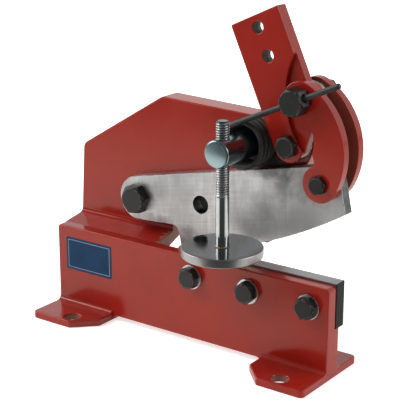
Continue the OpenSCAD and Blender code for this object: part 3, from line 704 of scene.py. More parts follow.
def slabPiece(name, parts, node, materials):  # slabs joined in one piece, in place of a solid
    points, faces, looks, start = [], [], [], 0
    for partPoints, partFaces, partLooks in parts:
        points.append(partPoints)
        faces += [[i + start for i in face] for face in partFaces]
        looks += partLooks
        start += len(partPoints)
    made = newPiece(name, np.concatenate(points), faces, bodyOf[node], materials[0], 38.0)
    made.data.materials.append(materials[1])
    made.data.polygons.foreach_set("material_index", np.array(looks, np.int32))
    evenNormals(made)
    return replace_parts(made, node)


# Return spring: a tail in the plate, a coil round the post and a long leg through the link pin
springShape = {
    "radius": 17.2, "wire": 4.5,
    "legAngle": 24.1347, "legY": 31.85, "legLength": 101.0, "legSteps": 50,
    "coilY": 54.65, "turns": 4.14545,
    "plateY": 57.2, "tailDepth": 7.9, "bend": 3.6,
    "stepsPerTurn": 64, "sides": 20, "nose": 1.2, "noseSteps": 7,
}
springStart = math.radians(springShape["legAngle"] + 90.0) + 2 * np.pi * springShape["turns"]
springBend = springShape["bend"] / springShape["radius"]


def onCoil(turn, depth):  # points at the coil's radius from the post's axis
    turn, depth = np.broadcast_arrays(turn, depth)
    radius = springShape["radius"]
    return np.stack([post[0] + radius * np.cos(turn), depth, post[1] + radius * np.sin(turn)], -1)


def springPath():
    # Tail along Y, a quarter bend, a helix of falling depth, and a straight tangent leg
    s = springShape
    tailY = np.linspace(s["plateY"] + s["tailDepth"], s["coilY"] + s["bend"] + 0.2, 8)
    quarter = np.linspace(0, np.pi / 2, 9)[:-1]
    bend = onCoil(springStart + springBend * np.cos(quarter), s["coilY"] + s["bend"] * (1 - np.sin(quarter)))
    share = np.linspace(0, 1, int(s["turns"] * s["stepsPerTurn"]) + 1)
    coil = onCoil(springStart - 2 * np.pi * s["turns"] * share, s["coilY"] + (s["legY"] - s["coilY"]) * share)
    along = np.linspace(0, s["legLength"], s["legSteps"])[1:, None]
    lean = math.radians(s["legAngle"])
    leg = coil[-1] + along * np.array([math.cos(lean), 0.0, math.sin(lean)])
    return np.concatenate([onCoil(springStart + springBend, tailY), bend, coil, leg])


def tube(path, radius, sides, roundEnd):
    # Circles square to the path, their size drawn in at both ends by the law of a round nose
    ahead = np.gradient(path, axis=0)
    ahead /= np.linalg.norm(ahead, axis=1)[:, None]
    aslant = np.array([math.sin(0.3), 0.15, math.cos(0.3)])  # a direction that the wire never takes
    side = np.cross(ahead, aslant)
    side /= np.linalg.norm(side, axis=1)[:, None]
    over = np.cross(ahead, side)
    far = np.concatenate([[0], np.cumsum(np.linalg.norm(np.diff(path, axis=0), axis=1))])
    end = np.minimum(far, far[-1] - far)
    size = radius * np.sqrt(np.clip(1 - np.clip(1 - end / roundEnd, 0, 1) ** 2 * 0.75, 0, 1))
    angle = ringAngles(sides)[..., None]
    ring = np.cos(angle) * side[:, None, :] + np.sin(angle) * over[:, None, :]
    return path[:, None, :] + size[:, None, None] * ring


def makeSpring():
    s = springShape
    path = springPath()
    nose = path[-1] - (path[-1] - path[-2]) * np.linspace(1, 0, s["noseSteps"])[1:, None]
    grid = tube(np.concatenate([path[:-1], nose]), s["wire"] / 2, s["sides"], s["nose"])
    faces = tubeFaces(len(grid), s["sides"])
    made = newPiece("returnSpring", grid, faces, None, springBlack, 60.0)
    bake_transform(made)
    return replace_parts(made, "return_spring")


# Cast frame: web, ledge, upper plate, feet and the fillets between them
castShape = {
    "left": -139.5, "right": 129.5, "front": 25.0, "webBack": 41.5, "webTop": 74.7, "webGap": 4.2,
    "seat": 35.3, "seatLow": 40.0, "bladeLeft": -17.9,
    "throat": -39.5, "throatLow": 57.7, "throatCorner": 9.0, "throatTop": 87.0, "plateCorner": 54.5,
    "plateFront": 57.2, "plateBack": 78.2, "ledgeTop": 78.6, "cove": 5.0, "reliefLow": 79.4,
    "underFront": 62.8, "underBack": 78.0,
    "boss": 14.3, "shoulders": ((80.0, 187.3, 0), (-50.5, 192.0, 7), (-136.0, 140.0, 7)), "plateBend": 3.5,
    "plateHoles": ((barHole, 11.05), (pivot, 7.1), (fulcrum, 5.1), (post, 7.1)), "tailHole": 2.55,
    "footLength": 59.0, "footFront": -10.0, "footBack": 71.0, "footThick": 6.0,
    "footChamfer": 18.0, "footBend": 4, "fillet": 4.0, "hole": 6.75, "holeX": 103.5,
    "edge": 1.2, "seatEdge": 0.35, "neckEdge": 0.25, "soleEdge": 0.5, "filletEdge": 0.6, "webBend": 3,
    "webEnd": (2.0, 1.0, 4.0),  # step inside a foot, height there, and the slope up from the foot's end
    "neck": (59.0, 81.0, 82.0),  # heights of its faces inside the web and the plate
    "hair": 0.04, "skin": 0.02, "tuck": 0.1,  # offsets that keep faces from lying in one plane
    "lap": 1.5, "reach": 2.0,  # how far a part reaches into its neighbour
}


def castWeb(c):
    left, right, gap, bend = c["left"], c["right"], c["webGap"], c["webBend"]
    foot, sunk = c["footLength"], c["footThick"] - c["edge"]
    step, under, ramp = c["webEnd"]
    half = [  # from an end inwards; the web starts where the foot's rounded top edge begins
        (0.0, sunk, 0), (step, sunk, 0), (step, under, 0), (foot, under, 0), (foot + ramp, gap, bend),
    ]
    lowSide = [(left + a, b, r) for a, b, r in half] + [(right - a, b, r) for a, b, r in half[::-1]]
    top, low, blade, throat = c["webTop"], c["seatLow"], c["bladeLeft"], c["throat"]
    lip = rounded(lowSide + [(right, top, bend), (left, top, bend)])
    back = rounded(lowSide + [
        (right, low, 0), (blade, low, 0), (blade, c["throatLow"], 0), (throat, c["throatLow"], 0),
        (throat, top - c["tuck"], 0), (left, top - c["tuck"], bend),
    ])
    return [
        slab(upright, lip, c["front"], c["seat"], (c["edge"], c["seatEdge"])),
        slab(upright, inset(back, c["skin"]), c["seat"] - c["lap"], c["webBack"], (0.0, c["edge"])),
    ]


def castPlate(c):
    boss = arc(fulcrum, c["boss"], 90.0, -22.0, 40)[::-1]
    left, throat, top, bend = c["left"], c["throat"], c["throatTop"], c["plateBend"]
    outline = np.concatenate([
        boss,
        rounded([*c["shoulders"], (left, c["ledgeTop"] + c["cove"], 0), (0, 0, 0)])[1:-1],
        np.array([[left, c["ledgeTop"]], [throat, c["ledgeTop"]]]),
        cornerArc((throat, 60.0), (throat, top), (0.0, top), bend),
        cornerArc((0.0, top), (c["plateCorner"], top), boss[0], bend),
    ])
    tail = onCoil(springStart + springBend, 0.0)[::2]  # where the spring's tail enters
    holes = [circle(*hole) for hole in c["plateHoles"]] + [circle(tail, c["tailHole"], 24)]
    return slab(upright, outline, c["plateFront"], c["plateBack"], (c["edge"], c["edge"]), holes)


def castLedge(c):
    slope = (c["ledgeTop"] - c["webTop"]) / (c["plateFront"] - c["seat"])
    throat, corner, reach, (low, rearTop, innerTop) = c["throat"], c["throatCorner"], c["reach"], c["neck"]
    fromY, inner = c["seat"] - 1.2, c["plateFront"] + reach
    face, rear, coveTop = c["plateFront"] - c["skin"], c["plateBack"] - c["skin"], c["ledgeTop"] + c["cove"]
    neck = rounded([
        (fromY, low, 0), (c["webBack"], low, 0), (c["webBack"], c["underFront"], 3),
        (rear, c["underBack"], 2), (rear, rearTop, 0), (inner, innerTop, 0), (inner, coveTop, 0),
        (face, coveTop, 0), (face, c["ledgeTop"], c["cove"]),
        (fromY, c["webTop"] + slope * (fromY - c["seat"]), 0),
    ])

    def bladeRelief(points):  # the cove runs out towards the throat, so the blade's heel passes it
        x, y, z = points.T
        cove = (x > throat - 1.0) & (y < inner) & (z > c["reliefLow"])
        return np.stack([x, np.where(cove, np.maximum(y, face), y), z], -1)

    seat = c["seat"]
    spandrel = np.concatenate([
        np.array([[throat - reach, seat - reach], [throat + corner, seat - reach]]),
        arc((throat + corner, seat + corner), corner, 270.0, 180.0, 12),
        np.array([[throat - reach, seat + corner]]),
    ])

    def slopedTop(points):  # heights of the top follow the ledge's slope
        x, y, z = points.T
        rise = slope * np.maximum(y - seat, 0.0) - 0.03  # a hair below the ledge
        return np.stack([x, y, z + np.where(z > c["throatLow"] + 1.0, rise, 0.0)], -1)

    ends = (-throat + c["hair"], -c["left"] - c["hair"])
    return [
        slab(section, neck, *ends, (c["neckEdge"], c["edge"]), wobble=bladeRelief),
        slab(plan, spandrel, -c["webTop"], 0.5 - c["throatLow"], (c["neckEdge"], 0.0), wobble=slopedTop),
    ]


def castFoot(c, side):  # a foot at the left or right end, and the fillets up to the web's two faces
    left, right, length, bend = c["left"], c["right"], c["footLength"], c["footBend"]
    inner, chamfer = left + length, c["footChamfer"]
    outline = rounded([
        (left, c["footFront"], bend), (inner - chamfer, c["footFront"], bend),
        (inner, c["footFront"] + chamfer, bend), (inner, c["footBack"], bend), (left, c["footBack"], bend),
    ])
    if side > 0:
        outline = (np.array([left + right, 0.0]) + outline * np.array([-1.0, 1.0]))[::-1]
    hole = circle((side * c["holeX"], 0.0), c["hole"])
    parts = [slab(plan, outline, -c["footThick"], 0.0, (c["edge"], c["soleEdge"]), [hole])]
    ends = (left, left + length) if side < 0 else (right - length, right)
    r, low, lap = c["fillet"], c["footThick"], c["lap"]
    for face, way in ((c["front"], 1.0), (c["webBack"], -1.0)):
        curve = arc((-r, r), r, 270.0, 360.0, 14) + np.array([0.0, low])
        profile = np.concatenate([[[lap, low - lap]], [[lap, low + r]], curve[::-1], [[-r, low - lap]]])
        profile = profile * np.array([way, 1.0]) + np.array([face, 0.0])
        profile = leftward(profile if way < 0 else profile[::-1])
        span = (-ends[1] + c["hair"], -ends[0] - c["hair"])
        parts.append(slab(section, profile, *span, (c["filletEdge"], c["filletEdge"])))
    return parts


def makeCasting():
    c = castShape
    parts = castWeb(c) + [castPlate(c)] + castLedge(c) + castFoot(c, -1) + castFoot(c, 1)
    return slabPiece("frameCasting", parts, "frame_casting", (castPaint, paintEdgeWearAndHighlight))


# Moving blade, drawn from its pivot along its own length and turned up
bladeShape = {
    "rise": 12.0, "end": 18.6, "length": 197.3,
    "heel": 37.0, "neck": 24.2, "heelCorner": 6.5, "tipCorner": 2.0,
    "cutRadius": 400.0, "cutDepth": 44.0, "cutAt": 59.0,
    "near": 47.1, "far": 57.1, "edge": 0.45,
    "slotAt": (183.5, 6.0), "slotSlope": 16.0, "slotReach": 5.6, "slotHalf": 5.6, "slotShift": 1.1,
    "holes": ((pivot, 7.05), (barHole, 7.5)),
}


def makeBlade():
    b = bladeShape
    end, reach, half = b["end"], b["slotReach"], b["slotHalf"]
    along = np.linspace(b["heel"], b["length"], 60)
    sweep = np.sqrt(b["cutRadius"] ** 2 - (along - b["cutAt"]) ** 2)
    cut = np.stack([along, b["cutRadius"] - b["cutDepth"] - sweep], -1)
    outline = np.concatenate([
        arc((0, 0), end, 90.0, 270.0, 40),
        cornerArc((0.0, -end), (b["heel"], -b["neck"]), cut[0], b["heelCorner"], 12),
        cut,
        cornerArc(cut[-1], (b["length"], end), (0.0, end), b["tipCorner"]),
    ])
    slot = np.concatenate([arc((reach, 0), half, -90, 90, 16), arc((-reach, 0), half, 90, 270, 16)])
    slot = turnedBy(slot + np.array([0, b["slotShift"]]), b["slotSlope"]) + np.array(b["slotAt"])
    outline, slot = (turnedBy(loop, b["rise"]) + pivot for loop in (outline, slot))
    holes = [circle(*hole) for hole in b["holes"]] + [slot]
    part = slab(upright, outline, b["near"], b["far"], (b["edge"], b["edge"]), holes, 2)
    return slabPiece("movingBlade", [part], "moving_blade", (bladeSteel, zinc))


# Lower blade: a ground bar in the web's seat
lowerShape = {
    "left": -17.9, "right": 130.1, "low": 40.0, "high": 76.2, "near": 35.3, "far": 47.0,
    "edge": 0.45, "corner": 0.3,
}


def makeLowerBlade():
    b = lowerShape
    places = ((b["left"], b["low"]), (b["right"], b["low"]), (b["right"], b["high"]), (b["left"], b["high"]))
    outline = rounded([(*place, b["corner"]) for place in places])
    part = slab(upright, outline, b["near"], b["far"], (b["edge"], b["edge"]), (), 2)
    return slabPiece("lowerBlade", [part], "lower_blade", (lowerSteel, lowerSteel))


# Lever, drawn upright from its fulcrum and leaned; its front is milled away round the front link
leverShape = {
    "lean": 24.5, "end": 12.8, "crank": (25.9, 29.2), "crankRadius": 13.0,
    "right": 32.1, "top": 100.5, "corner": 1.2,
    "near": 43.1, "milled": 46.9, "far": 55.1, "edge": 0.8, "milledEdge": 0.4, "overlap": 3.0,
    "recess": (81.2, 8.0), "recessRadius": 73.92, "skin": 0.02,
    "holes": ((9.65, 91.0, 4.75), (9.65, 68.4, 4.75), (0.0, 0.0, 5.05), (25.9, 29.2, 6.05)),
}


def makeLever():
    s = leverShape
    end, right, crank, recess = s["end"], s["right"], np.array(s["crank"]), np.array(s["recess"])
    side = heading(crank) - 90.0
    meet = math.degrees(math.acos((right - crank[0]) / s["crankRadius"]))
    head = [(right, 50.0, 0), (right, s["top"], s["corner"]), (-end, s["top"], s["corner"]), (-end, 0.0, 0)]
    top = rounded(head)[1:-1]
    outline = np.concatenate([
        top, arc((0, 0), end, -180.0, side, 40), arc(crank, s["crankRadius"], side, meet, 30),
    ])
    far = np.linalg.norm(recess)
    reach = (end**2 - s["recessRadius"] ** 2 + far**2) / (2 * far)
    enter = heading(recess) - math.degrees(math.acos(reach / end))  # where the arc leaves the round end
    first = heading(arc((0, 0), end, enter, enter, 0)[0] - recess)
    last = math.degrees(math.acos((right - recess[0]) / s["recessRadius"]))
    front = np.concatenate([
        top, arc((0, 0), end, -180.0, enter, 40), arc(recess, s["recessRadius"], first % 360.0, last, 60)[1:],
    ])
    outline, front = (turnedBy(loop, s["lean"]) + fulcrum for loop in (outline, front))
    holes = [turnedBy(circle((a, b), r), s["lean"]) + fulcrum for a, b, r in s["holes"]]
    thin = slab(upright, outline, s["milled"], s["far"], (s["milledEdge"], s["edge"]), holes)
    front, back = inset(front, s["skin"]), s["milled"] + s["overlap"]
    thick = slab(upright, front, s["near"], back, (s["edge"], 0.0), holes[:3])
    return slabPiece("leverArm", [thin, thick], "lever", (leverPaint, paintEdgeWearAndHighlight))


# Links: two lobes joined by an outer arc, with a notch that clears the fulcrum
linkShape = {
    "lobe": 14.3, "outer": 58.0, "notch": 23.3, "notchAlong": 27.0, "notchIn": 19.0,
    "thick": 8.0, "edge": 0.7, "holes": ((pinJoint, 6.05), (linkJoint, 4.1)),
    "frontLink": 38.8, "rearLink": 60.9,  # mm along Y
}


def linkOutline():
    s = linkShape
    lobe, notch, centre = s["lobe"], s["notch"], np.array([s["notchAlong"], -s["notchIn"]])
    span = linkJoint - pinJoint
    length = np.linalg.norm(span)
    along = span / length
    out = np.array([-along[1], along[0]])
    sag = math.sqrt((s["outer"] - lobe) ** 2 - (length / 2) ** 2)
    tilt = heading((length / 2, sag))  # from the chord to the line through the outer arc's centre
    gap = np.linalg.norm(centre)
    cut = heading(centre) - math.degrees(math.acos((lobe**2 - notch**2 + gap**2) / (2 * lobe * gap)))
    first = heading(arc((0, 0), lobe, cut, cut, 0)[0] - centre)
    last = math.degrees(math.asin(s["notchIn"] / notch))
    local = np.concatenate([
        arc((length / 2, -sag), s["outer"], tilt, 180.0 - tilt, 50),
        arc((0, 0), lobe, 180.0 - tilt, cut + 360.0, 36)[1:],
        arc(centre, notch, first % 360.0, last, 36)[1:],
        arc((length, 0), lobe, 180.0, 360.0 + tilt, 40)[:-1],
    ])
    return leftward(pinJoint + local[:, :1] * along + local[:, 1:] * out)


def makeLinks():
    s = linkShape
    holes = [circle(*hole) for hole in s["holes"]]
    for name, node, look in (("frontLink", "front_link", paint), ("rearLink", "rear_link", rearLinkPaint)):
        part = slab(upright, linkOutline(), s[name], s[name] + s["thick"], (s["edge"], s["edge"]), holes)
        slabPiece(name, [part], node, (look, paintEdgeWearAndHighlight))


# Softened copies of the solids: merged, flat faces joined, edges rounded by a bevel
softWork = {"merge": 2e-6, "flat": 0.6, "segments": 2}  # m, degrees and steps of a rounded edge
tipWork = {"skin": 0.05, "back": 0.4, "share": 0.82}  # how a bolt's end is found, set back and drawn in
softKinds = {  # rounding in mm, looks of faces and edges, and the least angle of a rounded edge in degrees
    "fastener": {"edge": 0.35, "looks": (blackSteel, blackEdge), "limit": 22},
    "ring": {"edge": 0.3, "looks": (zinc,), "limit": 40},
}
ringWords = ("washer", "washers", "spacer", "die")
softened = {  # each node, and what sets it apart from its kind
    "lower_blade_washers": {}, "lower_blade_bolts": {}, "bar_die": {"looks": (dieSteel,)},
    "pivot_bolt": {"edge": 0.4}, "pivot_washer": {}, "pivot_nut": {},
    "fulcrum_bolt": {}, "fulcrum_spacer": {}, "fulcrum_washer": {}, "fulcrum_nut": {},
    "hold_down_post": {"looks": (postZinc,), "limit": 30}, "post_washer": {}, "post_nut": {},
    "link_bolt": {"edge": 0.3}, "link_spacer": {}, "link_washer": {}, "link_nut": {"edge": 0.3},
    "link_pin": {"spread": 1.075}, "pin_spacer": {}, "pin_washer": {}, "pin_nut": {},
}
# Bolt ends behind the nuts: a short thread with a chamfered tip, over an end drawn in to make room
threadEnds = {
    "pivot_bolt": {"centre": pivot, "radius": 7.0, "from": 90.2, "to": 93.4, "pitch": 2.0},
    "fulcrum_bolt": {"centre": fulcrum, "radius": 5.0, "from": 87.0, "to": 90.2, "pitch": 1.5},
    "hold_down_post": {"centre": post, "radius": 7.0, "from": 90.2, "to": 93.4, "pitch": 2.0},
    "link_bolt": {"centre": linkJoint, "radius": 4.0, "from": 76.1, "to": 79.3, "pitch": 1.25},
    "link_pin": {"centre": pinJoint, "radius": 6.0, "from": 79.4, "to": 82.6, "pitch": 1.75},
}


def pieceName(node):
    first, *rest = node.split("_")
    return first + "".join(word.capitalize() for word in rest)


def drawEnd(mesh, chosen, centre, depth, share):
    # Vertices that are chosen by their depth move towards or away from a point, by a share along each axis
    spots = np.empty(len(mesh.vertices) * 3)
    mesh.vertices.foreach_get("co", spots)
    spots = spots.reshape(-1, 3)
    target = np.array(uprightPoint(centre, depth))
    moved = np.where(chosen(spots[:, 1])[:, None], target + (spots - target) * np.array(share), spots)
    mesh.vertices.foreach_set("co", moved.ravel())


def softenNode(node, how):
    mesh = nodes[node].data.copy()
    mesh.name = pieceName(node)
    if node in threadEnds:
        end = threadEnds[node]
        tip, share = (end["to"] - tipWork["skin"]) * mm, tipWork["share"]
        drawEnd(mesh, lambda y: y > tip, end["centre"], end["to"] - tipWork["back"], (share, 0.0, share))
    if "spread" in how:  # the pin head's flat front drawn out from its axis, which leaves a narrower chamfer
        share = how["spread"]
        drawEnd(mesh, lambda y: y < y.min() + 0.01 * mm, pinJoint, 0.0, (share, 1.0, share))
    work = bmesh.new()
    work.from_mesh(mesh)
    bmesh.ops.remove_doubles(work, verts=work.verts[:], dist=softWork["merge"])
    level = math.radians(softWork["flat"])
    bmesh.ops.dissolve_limit(work, angle_limit=level, verts=work.verts[:], edges=work.edges[:])
    work.to_mesh(mesh)
    work.free()
    mesh.materials.clear()
    for look in how["looks"]:
        mesh.materials.append(look)
    mesh.polygons.foreach_set("material_index", np.zeros(len(mesh.polygons), np.int32))
    made = addObject(pieceName(node), mesh)
    mesh.shade_smooth()
    bevel = made.modifiers.new("roundedEdges", "BEVEL")
    bevel.width = how["edge"] * mm
    bevel.segments = softWork["segments"]
    bevel.limit_method = "ANGLE"
    bevel.angle_limit = math.radians(how["limit"])
    bevel.use_clamp_overlap = False
    bevel.material = len(how["looks"]) - 1
    evenNormals(made)
    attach(made, bodyOf[node])
    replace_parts(made, node)


for node, own in softened.items():
    kind = "ring" if node.split("_")[-1] in ringWords else "fastener"
    softenNode(node, {**softKinds[kind], **own})
print("stage: solids softened,", len(softened), "pieces")


# Hold-down screw: threaded down to a polished shank
screwShape = {
    "bottom": 92.2, "top": 194.4,
    "radius": 5.2, "depth": 0.72, "pitch": 1.9,
    "threadFrom": 136.0,  # mm above the bench
    "chamfer": 1.3, "flat": 0.3,
    "columns": 48, "rowsPerTurn": 10,
}
threadForm = {
    "steep": 1.7, "crest": 0.35,  # of the wave that cuts the thread
    "endDepth": 0.42, "endTip": 0.8,  # a bolt end's depth as a share of its pitch, and its chamfer in mm
}


def threadRadius(height, angle, radius, depth, pitch):
    # Radius of a thread: a clipped triangle wave of (height / pitch - angle / turn), times its depth
    phase = (height / pitch - angle / (2 * np.pi)) % 1.0
    wave = threadForm["steep"] * np.abs(2 * phase - 1) - threadForm["crest"]
    return radius - depth * np.clip(wave, 0.0, 1.0)


def makeScrew():
    s = screwShape
    x, y = screwAxis
    plain = np.array([s["bottom"], s["bottom"] + 1.0, s["threadFrom"] - 4.0, s["threadFrom"] - 0.5])
    cut = np.arange(s["threadFrom"], s["top"] - 0.01, s["pitch"] / s["rowsPerTurn"])
    height = np.concatenate([plain, cut, [s["top"], s["top"]]])[:, None]
    angle = ringAngles(s["columns"])
    thread = threadRadius(height, angle, s["radius"], s["depth"], s["pitch"])
    runOut = 1.5 * s["pitch"]  # the thread reaches its depth over a turn and a half
    start = np.clip((height - s["threadFrom"]) / runOut, 0.0, 1.0)
    radius = s["radius"] + start * (thread - s["radius"])
    tip = s["radius"] - s["chamfer"] + np.clip(s["top"] - height, 0.0, s["chamfer"])
    radius = np.minimum(radius, tip)
    radius[-1] -= s["flat"]  # an inner ring keeps the end's face flat
    height = np.broadcast_to(height, radius.shape)
    points = np.stack([x + radius * np.cos(angle), y + radius * np.sin(angle), height], -1)
    faces = tubeFaces(len(height), s["columns"])
    made = newPiece("holdDownScrew", points, faces, "hold_down", screwZinc, 50.0)
    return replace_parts(made, "hold_down_screw")


def makeThreadEnd(node, end):
    # The same thread law along Y, cut off by a cone at the tip
    s, tip, pitch = screwShape, threadForm["endTip"], end["pitch"]
    rows = np.arange(end["from"], end["to"] - 0.01, pitch / s["rowsPerTurn"])
    height = np.append(rows, end["to"])[:, None]
    angle = ringAngles(s["columns"])
    thread = threadRadius(height, angle, end["radius"], threadForm["endDepth"] * pitch, pitch)
    radius = np.minimum(thread, end["radius"] - tip + np.clip(end["to"] - height, 0.0, tip))
    (x, z), height = end["centre"], np.broadcast_to(height, radius.shape)
    points = np.stack([x + radius * np.cos(angle), height, z + radius * np.sin(angle)], -1)
    look = postZinc if node == "hold_down_post" else blackSteel
    faces = tubeFaces(len(height), s["columns"], True)
    newPiece(pieceName(node) + "Thread", points, faces, bodyOf[node], look, 50.0)


makeScrew()
for node, end in threadEnds.items():
    makeThreadEnd(node, end)

# Hold-down disc: a turned plate with a rounded rim
discShape = {"bottom": 89.3, "top": 96.3, "radius": 31.75, "rim": 0.8, "bore": 5.25, "rows": (12.0, 24.0)}


def makeDisc():
    d = discShape
    rim, thick, (near, wide) = d["rim"], d["top"] - d["bottom"], d["rows"]
    bend = np.linspace(0, np.pi / 2, 9)
    low = np.stack([d["radius"] - rim + rim * np.sin(bend), rim - rim * np.cos(bend)], -1)
    high = np.stack([d["radius"] - rim + rim * np.cos(bend), thick - rim + rim * np.sin(bend)], -1)
    flat = np.array([[wide, thick], [near, thick], [d["bore"] + 0.1, thick], [d["bore"] - 0.3, thick - 0.4]])
    under = np.array([[0.4, 0.0], [near, 0.0], [wide, 0.0]])
    profile = np.concatenate([under, low, high, flat])
    made = turnedPiece("holdDownDisc", profile, d["bottom"], discChrome, 160, 30.0)
    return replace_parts(made, "hold_down_disc")


makeDisc()

# Ring of braze metal, lumpy round the screw's foot
brazeShape = {"base": 96.25, "inner": 5.0, "reach": 1.7, "rise": 1.3, "lumps": 0.24, "cover": 0.93}


def makeBraze():
    b = brazeShape
    inner, reach, rise = b["inner"], b["reach"], b["rise"]
    t = np.linspace(0, np.pi / 2, 9)
    outer = np.stack([inner + reach - reach * np.sin(t) * b["cover"], rise * (1 - np.cos(t))], -1)
    profile = np.concatenate([[[inner + reach, -0.1]], outer, [[inner - 0.1, rise]]])

    def lumpy(radius, height, angle):  # sums of a few waves round the ring, stronger where the bead is thick
        wave = np.sin(3 * angle + 0.4) + 0.6 * np.sin(7 * angle + 2.0) + 0.4 * np.sin(13 * angle)
        push = b["lumps"] * wave * np.clip((radius - inner) / reach, 0, 1)
        return radius + push, height * (1 + 0.10 * np.sin(5 * angle + 1.0))

    made = turnedPiece("brazeRing", profile, b["base"], brazeGold, 96, 60.0, lumpy)
    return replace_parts(made, "disc_braze")


makeBraze()
makeSpring()
makeCasting()
makeBlade()
makeLowerBlade()
makeLever()
makeLinks()
print("stage: casting, blades, lever and links made")

# Sticker on the web: a bare blue sheet with a pale frame line
stickerShape = {
    "left": -130.0, "right": -80.3, "low": 36.6, "high": 65.4, "front": 25.0,
    "thick": 0.14, "corner": 1.2, "lift": 0.02, "grid": (61, 37),
    "blue": (0.0062, 0.036, 0.094), "line": (0.42, 0.47, 0.55), "lineAt": 2.2, "lineHalf": 0.22,
}


def stickerMaterial(halfW, halfH, centre):
    s = stickerShape
    made, tree, shader, spot = newMaterial("stickerSheet", IOR=1.22)
    away = split(tree, vector(tree, "ABSOLUTE", vector(tree, "SUBTRACT", spot, i1=uprightPoint(centre))))
    inX, inZ = (calc(tree, "SUBTRACT", half * mm, away[axis]) for half, axis in ((halfW, "X"), (halfH, "Z")))
    fromEdge = calc(tree, "MINIMUM", inX, inZ)
    framed = below(tree, apart(tree, fromEdge, s["lineAt"] * mm), s["lineHalf"] * mm)
    skin = skinOf(tree, spot, fine=900.0, broad=60.0)
    blue = mottle(tree, skin["Broad"], *mostNoise, shade(s["blue"], 0.85), shade(s["blue"], 1.15))
    colour = mixColour(tree, times(tree, framed, 0.8), blue, s["line"])
    dress(tree, shader, colour, rough=0.36, height=skin["Fine"], strength=0.04, distance=0.00008)
    return made


def makeSticker():
    # A grid over the sheet whose outline is a rounded rectangle; the sheet lifts a hair at its edge
    s = stickerShape
    corner, (rows, columns) = s["corner"], s["grid"]
    u, v = np.meshgrid(np.linspace(-1, 1, rows), np.linspace(-1, 1, columns), indexing="ij")
    halfW, halfH = (s["right"] - s["left"]) / 2, (s["high"] - s["low"]) / 2
    centre = ((s["left"] + s["right"]) / 2, (s["low"] + s["high"]) / 2)
    x, z = u * halfW, v * halfH
    dx, dz = np.abs(x) - (halfW - corner), np.abs(z) - (halfH - corner)
    over = np.hypot(np.maximum(dx, 0), np.maximum(dz, 0))
    pull = np.where((dx > 0) & (dz > 0) & (over > corner), corner / np.maximum(over, 1e-9), 1.0)
    x = np.where(pull < 1, np.sign(x) * (halfW - corner + dx * pull), x)
    z = np.where(pull < 1, np.sign(z) * (halfH - corner + dz * pull), z)
    lift = s["lift"] * np.maximum(np.abs(u), np.abs(v)) ** 8
    front = np.stack([x + centre[0], s["front"] - s["thick"] - lift, z + centre[1]], -1).reshape(-1, 3)
    points = np.concatenate([front, front + (0, s["thick"] + s["lift"], 0)])
    sheet = gridFaces(rows, columns, False)
    count = rows * columns
    index = np.arange(count).reshape(rows, columns)
    rim = np.concatenate([index[:, 0], index[-1, 1:], index[-2::-1, -1], index[0, -2:0:-1]])
    after = np.roll(rim, -1)
    wall = np.stack([rim, rim + count, after + count, after], -1)
    faces = np.concatenate([sheet, sheet[:, ::-1] + count, wall]).tolist()
    sheetLook = stickerMaterial(halfW, halfH, centre)
    return newPiece("webSticker", points, faces, "frame", sheetLook, 40.0)


makeSticker()
print("stage: screw, disc, braze, spring and sticker made")


# Floor, lamps and world: white floor and backdrop, dark in front and above, soft lamps at the sides
stageLook = {
    "size": 6.0, "level": -0.0003,  # m
    "floor": (0.84, 0.84, 0.84),
    "warmed": (0.84, 0.80, 0.74),  # the floor as it lights the object
    "glow": (0.62, 1.0),  # light that the camera sees added to the floor, near the object and far off
    "glowAt": (0.25, 0.80),  # m from the origin
    "bounce": 0.36,  # light that the floor gives off round the object
    "bounceAt": (0.30, 0.70),  # m from the origin, where that fades out
    "dark": (0.16, 0.155, 0.15),  # the floor's front, as reflections see it
    "darkest": (0.04, 0.04, 0.04),  # the floor towards the unlit side, as reflections see it
    "darkFrom": (-0.36, -0.60),  # m along Y, where the light floor ends
    "darkSide": ((0.588, -0.809, 0.0), (0.574, 0.819)),  # the unlit side, and the cosines of its spread
    "darkAt": (0.06, 0.16),  # m from the origin, where the unlit side starts
    "backdrop": (0.95, 0.95, 0.95),
    "room": (0.14, 0.14, 0.14),
    "behind": (-0.25, 0.30),  # how far back a direction points where the backdrop starts
    "high": (0.45, 0.80), "ceiling": 0.15,  # how far up it points where the backdrop dims, and to what share
}
lamps = {
    "softboxLeft": {"place": (-2.50, -1.20, 1.50), "size": (1.8, 1.8), "watts": 50.0},
    "softboxRight": {"place": (2.20, 1.20, 1.50), "size": (1.6, 1.6), "watts": 34.0},
    "softboxTop": {"place": (-1.50, -1.35, 2.60), "size": (1.8, 1.6), "watts": 56.0, "mirrored": False},
}
lampTarget = Vector((0.0, 0.03, 0.12))


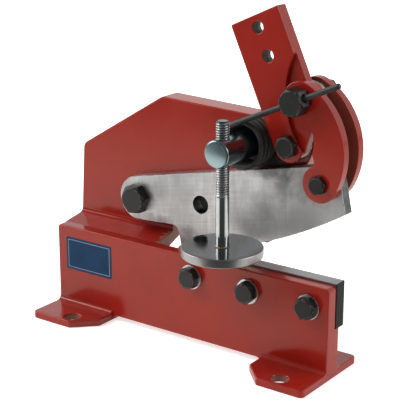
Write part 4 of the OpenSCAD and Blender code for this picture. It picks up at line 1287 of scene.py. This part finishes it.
def floorMaterial():
    look = stageLook
    made, tree, shader, spot = newMaterial("paleFloor", Roughness=0.9, IOR=1.3)
    seen = addNode(tree, "ShaderNodeLightPath").outputs
    camera, glossy = seen["Is Camera Ray"], seen["Is Glossy Ray"]
    far = vector(tree, "LENGTH", spot)
    side, spread = look["darkSide"]
    facing = vector(tree, "DOT_PRODUCT", vector(tree, "NORMALIZE", spot), i1=side)
    sector = times(tree, remap(tree, facing, *spread), remap(tree, far, *look["darkAt"]))
    ahead = remap(tree, split(tree, spot)["Y"], *look["darkFrom"])
    colour = mixColour(tree, camera, look["warmed"], look["floor"])
    colour = mixColour(tree, times(tree, glossy, ahead), colour, look["dark"])
    colour = mixColour(tree, times(tree, glossy, sector), colour, look["darkest"])
    fill(tree, shader["Base Color"], colour)
    unlit = times(tree, glossy, calc(tree, "MAXIMUM", sector, ahead))
    bounce = remap(tree, far, *look["bounceAt"], look["bounce"], 0.0)
    bounce = times(tree, bounce, calc(tree, "SUBTRACT", 1.0, unlit))
    unseen = times(tree, bounce, calc(tree, "SUBTRACT", 1.0, camera))
    shown = times(tree, camera, remap(tree, far, *look["glowAt"], *look["glow"]))
    fill(tree, shader["Emission Color"], (1.0, 1.0, 1.0, 1.0))
    fill(tree, shader["Emission Strength"], calc(tree, "ADD", shown, unseen))
    return made


def makeFloor():
    size, level = stageLook["size"], stageLook["level"]
    floor = bpy.data.meshes.new("floor")
    corners = [(-size, -size, level), (size, -size, level), (size, size, level), (-size, size, level)]
    floor.from_pydata(corners, [], [(0, 1, 2, 3)])
    floor.materials.append(floorMaterial())
    addObject("floor", floor)


def makeWorld():
    look = stageLook
    scene.world = bpy.data.worlds.new("studio")
    scene.world.use_nodes = True
    tree = scene.world.node_tree
    tree.nodes.clear()
    seen = addNode(tree, "ShaderNodeLightPath").outputs["Is Camera Ray"]
    way = split(tree, addNode(tree, "ShaderNodeTexCoord").outputs["Generated"])
    low = remap(tree, way["Z"], *look["high"], 1.0, look["ceiling"])
    lit = times(tree, remap(tree, way["Y"], *look["behind"]), low)
    around = addNode(tree, "ShaderNodeBackground", Color=mixColour(tree, lit, look["room"], look["backdrop"]))
    white = addNode(tree, "ShaderNodeBackground", Color=(1.0, 1.0, 1.0, 1.0))
    both = addNode(tree, "ShaderNodeMixShader", i0=seen, i1=around.outputs[0], i2=white.outputs[0])
    addNode(tree, "ShaderNodeOutputWorld", Surface=both.outputs[0])


def addLamp(name, place, size, watts, mirrored=True):
    data = bpy.data.lights.new(name, "AREA")
    data.shape = "RECTANGLE"
    data.size, data.size_y = size
    data.energy = watts
    lamp = addObject(name, data)
    lamp.location = place
    lamp.visible_glossy = mirrored  # a high lamp lights the paint without a glare on it
    aim(lamp, lampTarget - Vector(place))


makeFloor()
makeWorld()
for lampName, how in lamps.items():
    addLamp(lampName, **how)
print("stage: floor, lamps and world made")
